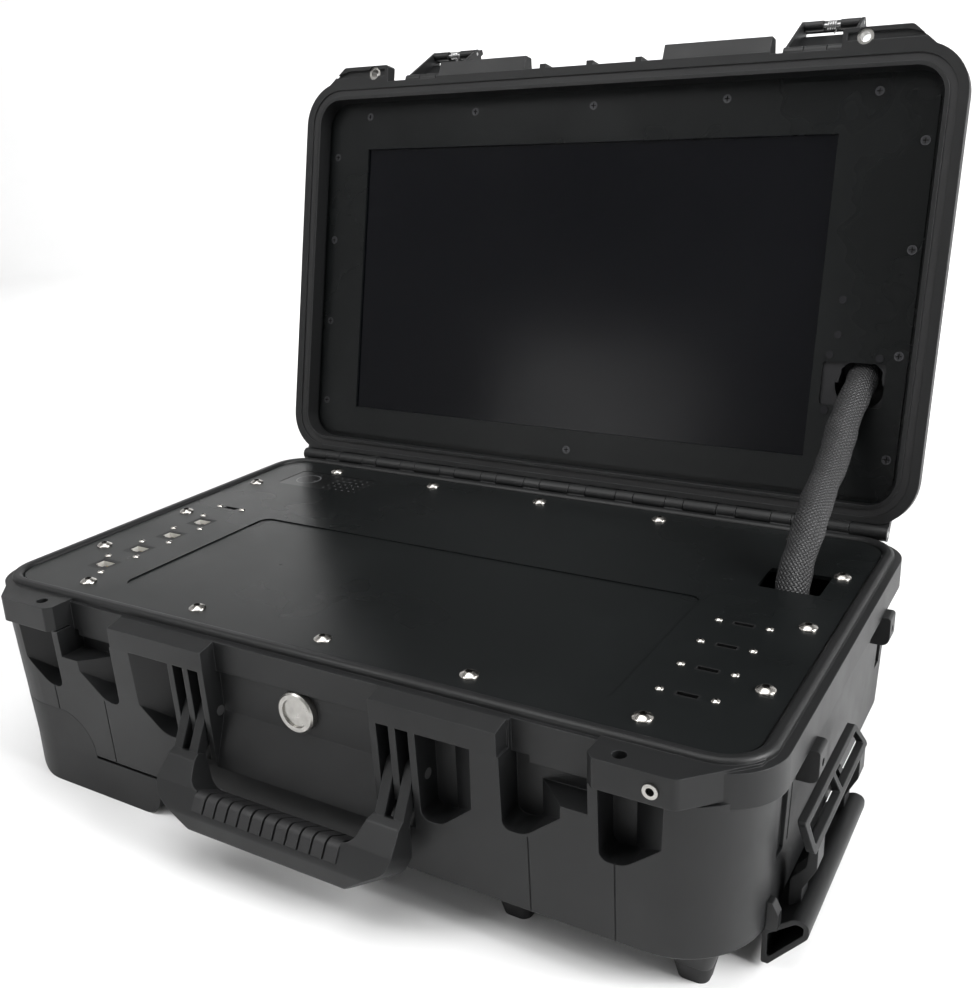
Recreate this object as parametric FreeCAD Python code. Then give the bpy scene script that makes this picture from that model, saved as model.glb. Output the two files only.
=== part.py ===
"""Wheeled hard case with a hinged lid, a screen in the lid and a socket panel in the base.

Frame: +Z up, front of the case at -Y, origin on the floor under the middle of the socket panel.
The lid is drawn closed and then swung open about its hinge, and the latches are drawn shut and
then swung open about their own pins, so every piece that meets another is placed from one drawing.
All sizes are in millimetres and all angles in degrees.
"""
import FreeCAD, Part
import math
import os

V = FreeCAD.Vector
EDGE_NEAR = 0.01

# Heights above the floor
PANEL_TOP_Z = 130.0
BASE_UNDER_Z = 27.0

# Socket panel and the seat around it
PANEL_HALF_X = 245.0
PANEL_HALF_Y = 143.0
PANEL_CORNER_R = 19.0
PANEL_THICK = 2.5
PANEL_GAP = 1.0
SEAT_W = 20.0
SEAT_DEEP = 10.0
SEAT_INNER_R = 8.0

# Base shell
WALL = 3.5
BEAD_W = 7.0
BEAD_RISE = 2.0
BEAD_EDGE_R = 2.6
FLANGE_W = 11.5
FLANGE_DROP = 2.0
FLANGE_BAND = 18.0
END_WALL_W = 6.5
APRON_W = 22.0
BODY_DRAFT = 3.0
BODY_CORNER_R = 45.0
BODY_EDGE = 2.0
APRON_DROP = 17.0
LOWER_ROOM_H = 22.0
POCKET_WALL = 4.0
RECESS_WALL = 9.0
RECESS_RAMP_DROP = 46.0
RECESS_FOOT_DROP = 84.0
BACK_LOW_DROP = 62.0
DECK_EDGE_DROP = 4.5
DECK_X1 = 131.0
POCKET_X1 = 125.0
POCKET_LOW_DROP = 67.0
POCKET_CORNER_R = 10.0
DECK_POCKET_FLAT = 12.0
SCOOP_FLOOR_W = 12.0
SCOOP_RISE = 24.0
SCOOP_LOW_R = 5.0
SCOOP_TURN_R = 14.0
SCOOP_END_R = 8.0
BAY_POCKET_DROP = 57.0
BAY_POCKET_W = 41.0
BAY_POCKET_FLAT = 14.0
CATCH_HALF_W = 16.5
CATCH_DROP = 24.0
CATCH_ROOM = 10.0
EAR_X1 = 221.0
EAR_OUT = 4.0
EAR_THICK = 16.0
EAR_TOP_DROP = 0.5
EAR_CORNER_X = 250.0
EAR_CORNER_IN = 3.0
EAR_NOSE_R = 2.0
EAR_TURN_R = 6.0
EAR_RIB_W = 5.0
EAR_POCKET_FLAT = 12.0
EAR_POCKET_W = 41.0
EAR_HOLE_X = 192.0
EAR_HOLE_R = 3.5
EYELET_X = 210.0
EYELET_DROP = 9.0
EYELET_R = 3.7
EYELET_HOLE_R = 2.0
EYELET_LIP = 1.0
EYELET_DEEP = 5.0
MOULD_LINE_W = 0.9
MOULD_LINE_DEEP = 0.7
MOULD_LINE_X = (146.0, 191.0)
BACK_RECESS_X = 232.0
BACK_RECESS_WALL = 5.0
BACK_RIB_X = (70.0, 150.0)
BACK_RIB_W = 8.0
CHANNEL_IN = 35.0
CHANNEL_W = 12.0
CHANNEL_DEEP = 3.5
CHANNEL_LOW_Z = 62.0
END_GROOVE_IN = 47.0
END_GROOVE_W = 2.0
END_GROOVE_DEEP = 1.2
LUG_IN = 61.0
LUG_W = 14.0
LUG_OUT = 10.0
LUG_TOP_DROP = 20.0
LUG_H = 18.0
LUG_HOLE_R = 2.2
LUG_HOLE_DEEP = 7.0
LUG_LOW_R = 5.0
LUG_TOP_R = 2.0

# Front carrying handle
HANDLE_IN = 12.0
HANDLE_AXIS_DROP = 45.0
HANDLE_ANGLE = 30.0
RIB_IN = 22.0
RIB_PITCH = 11.75
RIB_W = 4.0
RIB_LOW_DROP = 60.0
SLOT_LOW_DROP = 76.0
PRONG_W = 6.0
PRONG_R = 6.0
PIN_R = 3.0
RUN_GAP = 0.05
HANDLE_SEAM = 26.0
HANDLE_LONG = 67.0
HANDLE_HALF_X = 81.0
HANDLE_ARM_W = 18.0
HANDLE_BAR_W = 23.0
HANDLE_FRONT = 11.0
HANDLE_BACK = 9.5
HANDLE_FLAT_IN = 34.0
HANDLE_SEAM_OUT = 5.0
HANDLE_SEAM_IN = 1.5
HANDLE_BROW = 4.0
HANDLE_BROW_OUT = 8.0
HANDLE_CHIN = 7.0
HANDLE_TOE_IN = 2.0
HANDLE_NOSE = 9.0
HANDLE_SEAM_STEP = 2.0
HANDLE_SPLAY = 6.0
HANDLE_CORNER = 15.0
HANDLE_SIDE_RADII = (1.0, 1.0, 6.0, 3.0, 3.0, 3.0, 4.0, 6.0, 3.0)
HANDLE_FACE_RADII = (9.0, 0.0, 0.0, 8.0, 10.0, 10.0)
GRIP_IN = 31.0
GRIP_DEEP = 11.0
GRIP_PROUD = 0.8
GRIP_EDGE_R = 5.0
GRIP_SEGMENTS = 12
GRIP_GROOVE = 1.4
GRIP_GROOVE_DEEP = 1.2

# Round metal disc in the front recess
DISC_R = 12.0
DISC_THICK = 4.5
DISC_DROP = 32.0
DISC_DISH_R = 8.5
DISC_DISH_DEEP = 1.2
DISC_EDGE = 1.0

# Hinge
HINGE_OUT = 12.0
HINGE_UP = 3.0
HINGE_PIN_R = 2.0
KNUCKLE_R = 5.0
KNUCKLE_GAP = 0.6
KNUCKLE_PITCH = 38.5
LID_KNUCKLE_W = 24.0
KNUCKLE_SIDE_GAP = 0.5
LID_OPEN = 101.9

# Lid, drawn closed
LID_GAP = 0.6
LID_PANEL_HALF_X = 240.0
LID_PANEL_HALF_Y = 135.0
LID_PANEL_R = 15.0
LID_PANEL_THICK = 2.0
LID_PANEL_IN = 12.7
LID_ROOM_GAP = 4.0
LID_RIM_W = 14.0
LID_RIM_H = 9.5
LID_WALL_STEP = 5.5
LID_DEPTH = 52.5
LID_DRAFT = 3.5
LID_TOP_WALL = 3.5
LID_TOP_EDGE = 6.0
LID_TOP_RECESS_IN = 34.0
LID_TOP_RECESS_DEEP = 1.2
GASKET_IN = 2.8
GASKET_W = 4.8
GASKET_ROOM = 2.4
GASKET_THICK = 1.4
LID_SEAT_W = 14.0
LID_SEAT_DEEP = 10.0
LID_DECK_X0 = 55.0
LID_DECK_X1 = 131.0
LID_DECK_OUT = 11.0
LID_DECK_H = 16.0
LID_MID_RIB_X = 38.0
LID_MID_RIB_W = 5.0
LID_MID_RIB_OUT = 3.0
LID_EAR_OUT = 11.0
LID_EAR_CORNER_IN = 4.0
LID_EAR_PANEL_DEEP = 2.0
LID_EAR_BORDER = 3.0
LID_EAR_FACE_IN = 14.0
LID_EAR_FACE_R = 1.0
LID_EAR_TURN_R = 5.0
LID_DECK_EDGE = 3.0
LID_BAY_CLEAR = 1.0
LID_BAY_IN = 1.5
LID_EYELET_R = 5.2
LID_EYELET_HOLE_R = 3.2

# Screen in the lid panel
SCREEN_X0 = -202.6
SCREEN_X1 = 179.4
SCREEN_Y0 = -101.5
SCREEN_Y1 = 112.1
SCREEN_LAP = 4.0
GLASS_THICK = 2.7
STRAP_XS = (-150.0, -10.0, 130.0)
STRAP_W = 20.0
STRAP_THICK = 2.0

# Latches, drawn shut
LATCH_X = 155.0
LATCH_HALF_W = 21.5
BAY_GAP = 1.5
LATCH_PIVOT_OUT = 4.9
LATCH_PIVOT_UP = 26.7
LATCH_LONG = 45.0
LATCH_SWING = 143.1
LATCH_PIN_R = 1.5
LATCH_BARREL_R = 4.2
LATCH_MID_HALF = 7.6
LATCH_SIDE_GAP = 0.5
LATCH_CHEEK_W = 2.0
LATCH_WEB_T0 = 5.0
LATCH_WEB_T1 = 8.0
LATCH_CHEEK_T0 = 3.0
LATCH_NOTCH = 12.0
LATCH_ARM_RISE = 2.0
LATCH_ARM_DROP = 6.0
LATCH_HEAD = 4.0
LATCH_NOSE_T = 3.0
LATCH_SHOULDER = 6.0
LATCH_TAIL = 3.0
LATCH_TIP = 5.0
LATCH_ROOM_END = 9.0
LATCH_ARM_LONG = 9.0
LATCH_WEB_LAP = 1.0
LATCH_EDGE_R = 2.0
LATCH_SHOULDER_R = 3.0
LEVER_PIN_R = 1.25
LEVER_BARREL_R = 3.4
LEVER_SIDE_GAP = 0.5
LEVER_MID_HALF = 6.0
LEVER_REACH = 12.7
LEVER_T0 = 1.5
LEVER_T1 = 5.5
LEVER_LAP = 1.0
LEVER_EDGE_R = 1.0
HOOK_GAP = 0.5
HOOK_THICK = 3.2
HOOK_BITE = 3.1
HOOK_HALF_W = 14.0
HOOK_EDGE_R = 0.8
SPRING_WIRE_R = 0.5
SPRING_COIL_R = 2.3
SPRING_TURNS = 4
SPRING_PITCH = 1.6
SPRING_LEG = 9.0
SPRING_CLEAR = 1.0

# Wheels and their corner boots
WHEEL_IN = 27.0
WHEEL_Z = 35.0
WHEEL_R = 33.0
WHEEL_SIDE_IN = 31.0
WHEEL_W = 26.0
TYRE_THICK = 6.0
WHEEL_SIDE_GAP = 1.5
WHEEL_ROOM = 3.0
AXLE_R = 4.0
AXLE_SEAT = 6.0
BOOT_TOP_Z = 56.0
BOOT_ARCH_IN = 54.0
BOOT_ARCH_R = 26.0
BOOT_END_IN = 112.0
BOOT_TOE = 10.0
BOOT_TOE_R = 14.0
BOOT_HEEL_R = 40.0
BOOT_IN = 78.0
BOOT_TAIL_IN = 48.0

# Feet: a moulded pedestal under the base, and a rubber foot on it
FOOT_END_IN = (25.0, 122.0)
FOOT_IN = 30.0
FOOT_HALF_X = 10.0
FOOT_HALF_Y = 9.0
FOOT_R = 5.0
FOOT_TAPER = 2.0
FOOT_H = 10.0
PEDESTAL_TAPER = 5.0

# Pull handle at the +X end: its sections give the distance out from the end wall and the height
PULL_MID_Y = -50.0
PULL_FRONT_Y = -115.0
PULL_BACK_Y = 5.0
PULL_SINK = 6.0
PULL_REACH = 16.1
PULL_TOP_Z = 34.0
PULL_SECTION = ((-6.0, 3.0), (-6.0, 21.8), (9.5, 34.0), (16.1, 32.0), (16.1, 25.0), (-2.5, 3.0))
PULL_RADII = (1.0, 4.0, 6.0, 4.0, 6.0, 1.0)
PULL_BORE_SECTION = ((-3.4, 6.0), (-3.4, 20.5), (10.0, 31.1), (13.5, 30.1), (13.5, 26.0))
PULL_BORE_RADII = (1.0, 2.5, 3.0, 1.5, 3.0)
PULL_END_WALL = 9.0
PULL_END_R = 2.0
RAIL_SPREAD = 34.0
RAIL_W = 12.0
RAIL_H = 12.0
RAIL_WALL = 1.5
RAIL_Z = 8.0
RAIL_LONG = 398.0
GUIDE_GAP = 0.5
GUIDE_WALL = 2.0
GUIDE_IN = 12.5
GUIDE_LONG = 395.0
FRAME_TOP_Z = 78.0
FRAME_LOW_Z = 65.0
FRAME_TOP_OUT = 8.0
FRAME_LOW_OUT = 14.5
FRAME_THICK = 4.0
FRAME_TOP_HALF_Y = 51.5
FRAME_LOW_HALF_Y = 56.0
FRAME_BAR = 4.0
FRAME_SIDE_BAR = 5.0
FRAME_EDGE = 2.4
FRAME_LOW_R = 1.5
FRAME_TOP_R = 3.0
FRAME_WINDOW_R = 1.0
ARM_W = 12.0
ARM_STRAIGHT = 12.0
ARM_THICK = 6.0
ARM_FACE_IN = 8.0
ARM_SINK = 6.0
ARM_BEND_OUT = 6.0
ARM_BEND_IN = 10.0
ARM_BEND_R = 5.0
ARM_SWELL = 1.0
CLIP_W = 6.0
CLIP_H = 15.0
CLIP_OUT = 6.0
CLIP_GAP = 1.0
CLIP_LIP_H = 9.0
CLIP_EDGE_R = 1.5
CLIP_TOP_R = 1.0

# Panel screws
SCREW_HEAD_R = 5.2
SCREW_HEAD_H = 2.8
SCREW_SHANK_R = 2.0
SCREW_DEEP = 9.0
SCREW_EDGE_X = 12.8
SCREW_EDGE_Y = 14.3
SCREW_PITCH_X = 94.6
SCREW_PITCH_Y = 78.1
DOME_SAG = 0.45
DOME_BULGE_R = 0.72
DOME_BULGE_DROP = 0.62
DRIVE_R = 0.3
LID_SCREW_R = 3.0
LID_SCREW_HEAD = 1.6
LID_SCREW_SHANK_R = 1.4
LID_SCREW_DEEP = 7.0
LID_SCREW_EDGE_X = 6.0
LID_SCREW_EDGE_Y = 7.7
LID_SCREW_PITCH_X = 101.2
LID_SCREW_PITCH_Y = 68.1
LID_SCREW_FIRST_Y = 108.7
SMALL_SCREW_R = 2.3
SMALL_SCREW_H = 1.4
SMALL_SHANK_R = 1.2
SMALL_SCREW_DEEP = 6.0

# Sockets and openings in the base panel
JACK_IN = 40.5
JACK_FRONT_IN = 40.6
JACK_PITCH = 29.9
JACK_COUNT = 4
JACK_HALF_X = 8.5
JACK_HALF_Y = 7.5
JACK_MOUTH_X = 6.0
JACK_MOUTH_Y = 4.5
JACK_DEEP = 20.0
JACK_MOUTH_DEEP = 11.0
JACK_LEDGE = 2.0
JACK_NOTCH_X = 3.0
JACK_NOTCH_Y = 1.5
JACK_SCREW_X = 9.5
JACK_SCREW_Y = 11.5
PORT_IN = 45.1
PORT_FRONT_IN = 44.0
PORT_PITCH = 29.4
PORT_COUNT = 4
PORT_HALF_X = 6.5
PORT_HALF_Y = 2.6
PORT_WALL = 1.0
PORT_DEEP = 14.0
PORT_MOUTH_DEEP = 9.0
PORT_SCREW_X = 14.3
SIDE_PORT_IN = 38.1
SIDE_PORT_Y = 20.7
SIDE_PORT_SCREW_X = 11.0
TRAY_HALF_X = 167.5
TRAY_FRONT_IN = 22.0
TRAY_Y1 = 15.0
TRAY_R = 8.0
TRAY_DEEP = 0.8
KEYPAD_IN = 28.0
KEYPAD_LONG = 74.0
KEYPAD_BACK_IN = 22.0
KEYPAD_W = 35.0
KEYPAD_R = 4.0
KEYPAD_DEEP = 0.8
KEYPAD_THICK = 0.6
CABLE_GATE_X0 = 190.0
CABLE_GATE_X1 = 227.0
CABLE_GATE_Y0 = 44.5
CABLE_GATE_Y1 = 76.0
CABLE_GATE_R = 2.0

# Cable from the base to the screen, and its two clamps
CABLE_R = 11.0
CABLE_POINTS = (
    (208.0, 50.0, 104.0),
    (208.0, 57.0, 128.0),
    (208.0, 78.0, 152.0),
    (208.3, 104.0, 166.5),
    (208.8, 130.0, 182.0),
    (209.8, 156.0, 203.0),
    (211.0, 180.0, 221.0),
    (211.5, 205.0, 228.0),
)
BEND_SHARE = 0.45
CLAMP_R = 15.0
CLAMP_LONG = 12.0
CLAMP_PLATE = 3.0
CLAMP_FOOT = 8.0
WINDOW_X0 = 186.0
WINDOW_X1 = 227.0
WINDOW_Y0 = 46.6
WINDOW_Y1 = 75.6
WINDOW_R = 2.0
BRACKET_LAP = 6.0
BRACKET_LAP_X = 1.5
BRACKET_STAND = 1.6
BRACKET_POST = 2.5
STUD_R = 2.6
STUD_H = 0.8
STUD_SPOTS = ((189.8, 42.4), (222.3, 42.8), (190.5, 79.5), (193.8, 28.9), (194.4, 5.8))

# Values that follow from the sizes above
cav_x = PANEL_HALF_X + PANEL_GAP
cav_y = PANEL_HALF_Y + PANEL_GAP
cav_r = PANEL_CORNER_R + PANEL_GAP
panel_under = PANEL_TOP_Z - PANEL_THICK
JACK_X = JACK_IN - PANEL_HALF_X
JACK_Y0 = JACK_FRONT_IN - PANEL_HALF_Y
PORT_Y0 = PORT_FRONT_IN - PANEL_HALF_Y
TRAY_Y0 = TRAY_FRONT_IN - PANEL_HALF_Y
KEYPAD_Y1 = PANEL_HALF_Y - KEYPAD_BACK_IN
KEYPAD_Y0 = KEYPAD_Y1 - KEYPAD_W
WHEEL_Y = PANEL_HALF_Y - WHEEL_SIDE_IN
EAR_CORNER_Y = PANEL_HALF_Y - EAR_CORNER_IN
LID_EAR_CORNER_Y = PANEL_HALF_Y - LID_EAR_CORNER_IN
CHANNEL_Y = PANEL_HALF_Y - CHANNEL_IN
END_GROOVE_Y = PANEL_HALF_Y - END_GROOVE_IN
LUG_Y = PANEL_HALF_Y - LUG_IN
PORT_X = PANEL_HALF_X - PORT_IN
SIDE_PORT_X = SIDE_PORT_IN - PANEL_HALF_X
KEYPAD_X0 = KEYPAD_IN - PANEL_HALF_X
KEYPAD_X1 = KEYPAD_X0 + KEYPAD_LONG
WHEEL_X = WHEEL_IN - PANEL_HALF_X
BOOT_ARCH_X = WHEEL_X + BOOT_ARCH_IN
BOOT_END_X = WHEEL_X + BOOT_END_IN
body_x = cav_x + END_WALL_W
body_y = cav_y + APRON_W
low_x = body_x - BODY_DRAFT
low_y = body_y - BODY_DRAFT
flange_x = cav_x + FLANGE_W
flange_y = cav_y + FLANGE_W
flange_top = PANEL_TOP_Z - FLANGE_DROP
flange_low = flange_top - FLANGE_BAND
apron_top = PANEL_TOP_Z - APRON_DROP
bead_top = PANEL_TOP_Z + BEAD_RISE
pocket_y = -(cav_y + POCKET_WALL)
recess_y = -(cav_y + RECESS_WALL)
floor_in = BASE_UNDER_Z + WALL
RIB_X0 = HANDLE_HALF_X - RIB_IN
HANDLE_FLAT_X = HANDLE_HALF_X - HANDLE_FLAT_IN
FOOT_X = tuple(PANEL_HALF_X - end_in for end_in in FOOT_END_IN)
rib_xs = [RIB_X0 + RIB_PITCH * k for k in range(3)]
deck_x0 = RIB_X0 - RIB_W / 2
GRIP_HALF_X = HANDLE_HALF_X - GRIP_IN
pocket_x0 = rib_xs[2] + RIB_W / 2
bay_x0 = LATCH_X - LATCH_HALF_W - BAY_GAP
bay_x1 = LATCH_X + LATCH_HALF_W + BAY_GAP
catch_low = PANEL_TOP_Z - CATCH_DROP
ear_low = PANEL_TOP_Z - EAR_THICK
ear_top = PANEL_TOP_Z - EAR_TOP_DROP
handle_y = -(cav_y + HANDLE_IN)
handle_z = PANEL_TOP_Z - HANDLE_AXIS_DROP
hinge_y = cav_y + HINGE_OUT
hinge_z = PANEL_TOP_Z + HINGE_UP
seat_under = panel_under - SEAT_DEEP
lid_rim_z = bead_top + LID_GAP
lid_panel_z = lid_rim_z + LID_PANEL_IN
lid_panel_back = lid_panel_z + LID_PANEL_THICK
lid_seat_back = lid_panel_back + LID_SEAT_DEEP
lid_top_z = lid_rim_z + LID_DEPTH
lid_room_x = LID_PANEL_HALF_X + LID_ROOM_GAP
lid_room_y = LID_PANEL_HALF_Y + LID_ROOM_GAP
lid_room_r = LID_PANEL_R + LID_ROOM_GAP
lid_rim_x = lid_room_x + LID_RIM_W
lid_rim_y = lid_room_y + LID_RIM_W
lid_rim_r = lid_room_r + LID_RIM_W
lid_wall_x = lid_rim_x - LID_WALL_STEP
hinge_half = min(flange_x, lid_rim_x)
LID_KNUCKLES_EACH_SIDE = int((hinge_half - LID_KNUCKLE_W / 2) // KNUCKLE_PITCH)
lid_wall_y = lid_rim_y - LID_WALL_STEP
pivot_y = -(lid_rim_y + LATCH_PIVOT_OUT)
pivot_z = lid_rim_z + LATCH_PIVOT_UP
PULL_IN_X = body_x - PULL_SINK
PULL_OUT_X = body_x + PULL_REACH
GUIDE_X1 = body_x - GUIDE_IN
FRAME_TOP_X = body_x + FRAME_TOP_OUT
FRAME_LOW_X = body_x + FRAME_LOW_OUT


def rounded_wire(points, radii):
    """A closed wire through points, with each corner rounded by an arc of its own radius."""
    count = len(points)
    ends = []
    for i, corner in enumerate(points):
        back = (points[i - 1] - corner).normalize()
        ahead = (points[(i + 1) % count] - corner).normalize()
        if radii[i] <= 0:
            ends.append((corner, None, corner))
            continue
        half = back.getAngle(ahead) / 2
        run = radii[i] / math.tan(half)
        middle = (back + ahead).normalize() * (radii[i] / math.sin(half) - radii[i])
        ends.append((corner + back * run, corner + middle, corner + ahead * run))
    edges = []
    for i in range(count):
        first, middle, last = ends[i]
        if middle is not None:
            edges.append(Part.Arc(first, middle, last).toShape())
        following = ends[(i + 1) % count][0]
        if last.distanceToPoint(following) > 1e-6:
            edges.append(Part.LineSegment(last, following).toShape())
    return Part.Wire(edges)


def prism(axis, points, low, high, radii=None):
    """A profile drawn square to an axis and pushed along it from low to high."""
    place = {
        "x": lambda p: V(low, p[0], p[1]),
        "y": lambda p: V(p[0], low, p[1]),
        "z": lambda p: V(p[0], p[1], low),
    }[axis]
    push = {"x": V(1, 0, 0), "y": V(0, 1, 0), "z": V(0, 0, 1)}[axis] * (high - low)
    if radii is None:
        radii = [0] * len(points)
    elif not isinstance(radii, (list, tuple)):
        radii = [radii] * len(points)
    return Part.Face(rounded_wire([place(p) for p in points], radii)).extrude(push)


def box(x0, x1, y0, y1, z0, z1):
    return Part.makeBox(x1 - x0, y1 - y0, z1 - z0, V(x0, y0, z0))


def oblong(half_x, half_y, radius, z):
    corners = [V(-half_x, -half_y, z), V(half_x, -half_y, z), V(half_x, half_y, z), V(-half_x, half_y, z)]
    return rounded_wire(corners, [radius] * 4)


def slab(half_x, half_y, radius, z0, z1):
    return Part.Face(oblong(half_x, half_y, radius, z0)).extrude(V(0, 0, z1 - z0))


def plate(x0, x1, y0, y1, radius, z0, z1):
    moved = slab((x1 - x0) / 2, (y1 - y0) / 2, radius, z0, z1)
    moved.translate(V((x0 + x1) / 2, (y0 + y1) / 2, 0))
    return moved


def taper(low, high, z0, z1):
    """A loft between two oblongs, each given as half sizes and a corner radius."""
    return Part.makeLoft([oblong(*low, z0), oblong(*high, z1)], True, True)


def rod(start, direction, radius):
    return Part.makeCylinder(radius, direction.Length, start, direction)


def rod_x(x0, x1, y, z, radius):
    return Part.makeCylinder(radius, x1 - x0, V(x0, y, z), V(1, 0, 0))


def rod_y(y0, y1, x, z, radius):
    return Part.makeCylinder(radius, y1 - y0, V(x, y0, z), V(0, 1, 0))


def rod_z(z0, z1, x, y, radius):
    return Part.makeCylinder(radius, z1 - z0, V(x, y, z0), V(0, 0, 1))


def flip_x(shape):
    return shape.mirror(V(0, 0, 0), V(1, 0, 0))


def flip_y(shape):
    return shape.mirror(V(0, 0, 0), V(0, 1, 0))


def both_sides(shapes):
    return list(shapes) + [flip_x(s) for s in shapes]


def turned_x(shape, y, z, angle):
    copy = shape.copy()
    copy.rotate(V(0, y, z), V(1, 0, 0), angle)
    return copy


def lid_opened(shape):
    return turned_x(shape, hinge_y, hinge_z, -LID_OPEN)


def latch_opened(shape):
    return lid_opened(turned_x(shape, pivot_y, pivot_z, -LATCH_SWING))


def handle_hung(shape):
    return turned_x(shape, handle_y, handle_z, -HANDLE_ANGLE)


def save(node, *shapes):
    os.makedirs("parts", exist_ok=True)
    solids = [s for shape in shapes for s in shape.Solids]
    whole = solids[0] if len(solids) == 1 else Part.makeCompound(solids)
    if not whole.isValid():
        print("not valid", node)
    whole.exportStep("parts/" + node + ".step")


def screw_spots():
    """Where the panel's sixteen screws stand: rows along all four edges."""
    edge_x = PANEL_HALF_X - SCREW_EDGE_X
    edge_y = PANEL_HALF_Y - SCREW_EDGE_Y
    rows = [(SCREW_PITCH_X * k, side * edge_y) for side in (-1, 1) for k in range(-2, 3)]
    ends = [(side * edge_x, SCREW_PITCH_Y * k) for side in (-1, 1) for k in range(-1, 2)]
    return rows + ends


def lid_screw_spots():
    edge_x = LID_PANEL_HALF_X - LID_SCREW_EDGE_X
    edge_y = LID_PANEL_HALF_Y - LID_SCREW_EDGE_Y
    front = [(LID_SCREW_PITCH_X * k, -edge_y) for k in range(-2, 3)]
    sides = [(side * edge_x, LID_SCREW_FIRST_Y - LID_SCREW_PITCH_Y * k) for side in (-1, 1) for k in range(4)]
    return front + sides + [(0.0, edge_y)]


def jack_spots():
    return [(JACK_X, JACK_Y0 + JACK_PITCH * k) for k in range(JACK_COUNT)]


def port_spots():
    return [(PORT_X, PORT_Y0 + PORT_PITCH * k) for k in range(PORT_COUNT)]


def small_screw_spots():
    spots = []
    for x, y in jack_spots():
        spots += [(x - JACK_SCREW_X, y + JACK_SCREW_Y), (x + JACK_SCREW_X, y - JACK_SCREW_Y)]
    for x, y in port_spots():
        spots += [(x - PORT_SCREW_X, y), (x + PORT_SCREW_X, y)]
    spots += [(SIDE_PORT_X + side * SIDE_PORT_SCREW_X, SIDE_PORT_Y) for side in (-1, 1)]
    return spots


def body_envelope():
    """The drafted outer body, down to the floor: the boots are trimmed to it."""
    upper = taper((low_x, low_y, BODY_CORNER_R), (body_x, body_y, BODY_CORNER_R), BASE_UNDER_Z, apron_top)
    return upper.fuse(slab(low_x, low_y, BODY_CORNER_R, 0, BASE_UNDER_Z))


def boot_block():
    """The front boot's side profile, pushed inward from the front wall."""
    profile = [
        (-body_x - WALL, BOOT_TOP_Z),
        (BOOT_ARCH_X, BOOT_TOP_Z),
        (BOOT_ARCH_X, BASE_UNDER_Z),
        (BOOT_END_X, BASE_UNDER_Z),
        (BOOT_END_X - BOOT_TOE, 0),
        (-low_x, 0),
        (-low_x, BASE_UNDER_Z + WALL),
        (-body_x - WALL, BASE_UNDER_Z + WALL),
    ]
    radii = [0, BOOT_ARCH_R, 0, 0, BOOT_TOE_R, 0, 0, 0]
    return prism("y", profile, -body_y - WALL, -low_y + BOOT_IN, radii)


def wheel_room(extra):
    """The space that the front wheel turns in, widened by extra all round."""
    half = WHEEL_W / 2 + WHEEL_SIDE_GAP + extra
    radius = WHEEL_R + WHEEL_ROOM + extra
    return rod_y(-WHEEL_Y - half, -WHEEL_Y + half, WHEEL_X, WHEEL_Z, radius)


def scoop(x0, x1, low, high, flat):
    """A pocket beside a fin: full depth next to it, ramping out and upward away from it."""
    far = -body_y - 2 * EAR_OUT
    face = [(x0, high), (x0, low), (x0 + SCOOP_FLOOR_W, low), (x1, low + SCOOP_RISE), (x1, high)]
    plan = [(x0, far), (x0, pocket_y), (x0 + flat, pocket_y), (x1, far)]
    turn_r = min(SCOOP_TURN_R, (x1 - x0 - SCOOP_FLOOR_W) / 2)
    pocket = prism("y", face, far, pocket_y, [0, SCOOP_LOW_R, turn_r, SCOOP_END_R, 0])
    return pocket.common(prism("z", plan, low, high))


def front_cuts():
    """Recesses of the front wall at +X: handle slots, deck pocket, latch bay and ear pocket."""
    far = -body_y - 2 * EAR_OUT
    high = apron_top
    slot_low = PANEL_TOP_Z - SLOT_LOW_DROP
    slope = body_y + pocket_y
    slot_out = slot_low + body_y + far
    slot_side = [(pocket_y, high), (pocket_y, slot_low + slope), (far, slot_out), (far, high)]
    cuts = []
    for k in range(2):
        cuts.append(prism("x", slot_side, rib_xs[k] + RIB_W / 2, rib_xs[k + 1] - RIB_W / 2))
    below_ribs = prism("x", slot_side, rib_xs[0] + RIB_W / 2, rib_xs[2] - RIB_W / 2)
    rib_low = PANEL_TOP_Z - RIB_LOW_DROP
    cuts.append(below_ribs.common(box(0, body_x, far, pocket_y, 0, rib_low)))
    low = PANEL_TOP_Z - POCKET_LOW_DROP
    cuts.append(scoop(pocket_x0, POCKET_X1, low, high, DECK_POCKET_FLAT))
    catch_x0 = LATCH_X + BAY_GAP * 2 - CATCH_HALF_W
    catch_x1 = catch_x0 + 2 * CATCH_HALF_W
    bay = box(bay_x0, bay_x1, far, pocket_y, catch_low - CATCH_ROOM, high)
    cuts.append(bay.cut(box(catch_x0, catch_x1, recess_y, pocket_y, catch_low, high)))
    low = PANEL_TOP_Z - BAY_POCKET_DROP
    cuts.append(scoop(bay_x0, bay_x0 + BAY_POCKET_W, low, catch_low, BAY_POCKET_FLAT))
    start = bay_x1 + EAR_RIB_W
    cuts.append(scoop(start, start + EAR_POCKET_W, low, ear_low, EAR_POCKET_FLAT))
    for x in MOULD_LINE_X:
        wall_low = low_y - MOULD_LINE_DEEP
        wall_high = low_y + BODY_DRAFT * (low - BASE_UNDER_Z) / (apron_top - BASE_UNDER_Z) - MOULD_LINE_DEEP
        line = [(-wall_low, BASE_UNDER_Z), (far, BASE_UNDER_Z), (far, low), (-wall_high, low)]
        cuts.append(prism("x", line, x - MOULD_LINE_W / 2, x + MOULD_LINE_W / 2))
    return cuts


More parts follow.
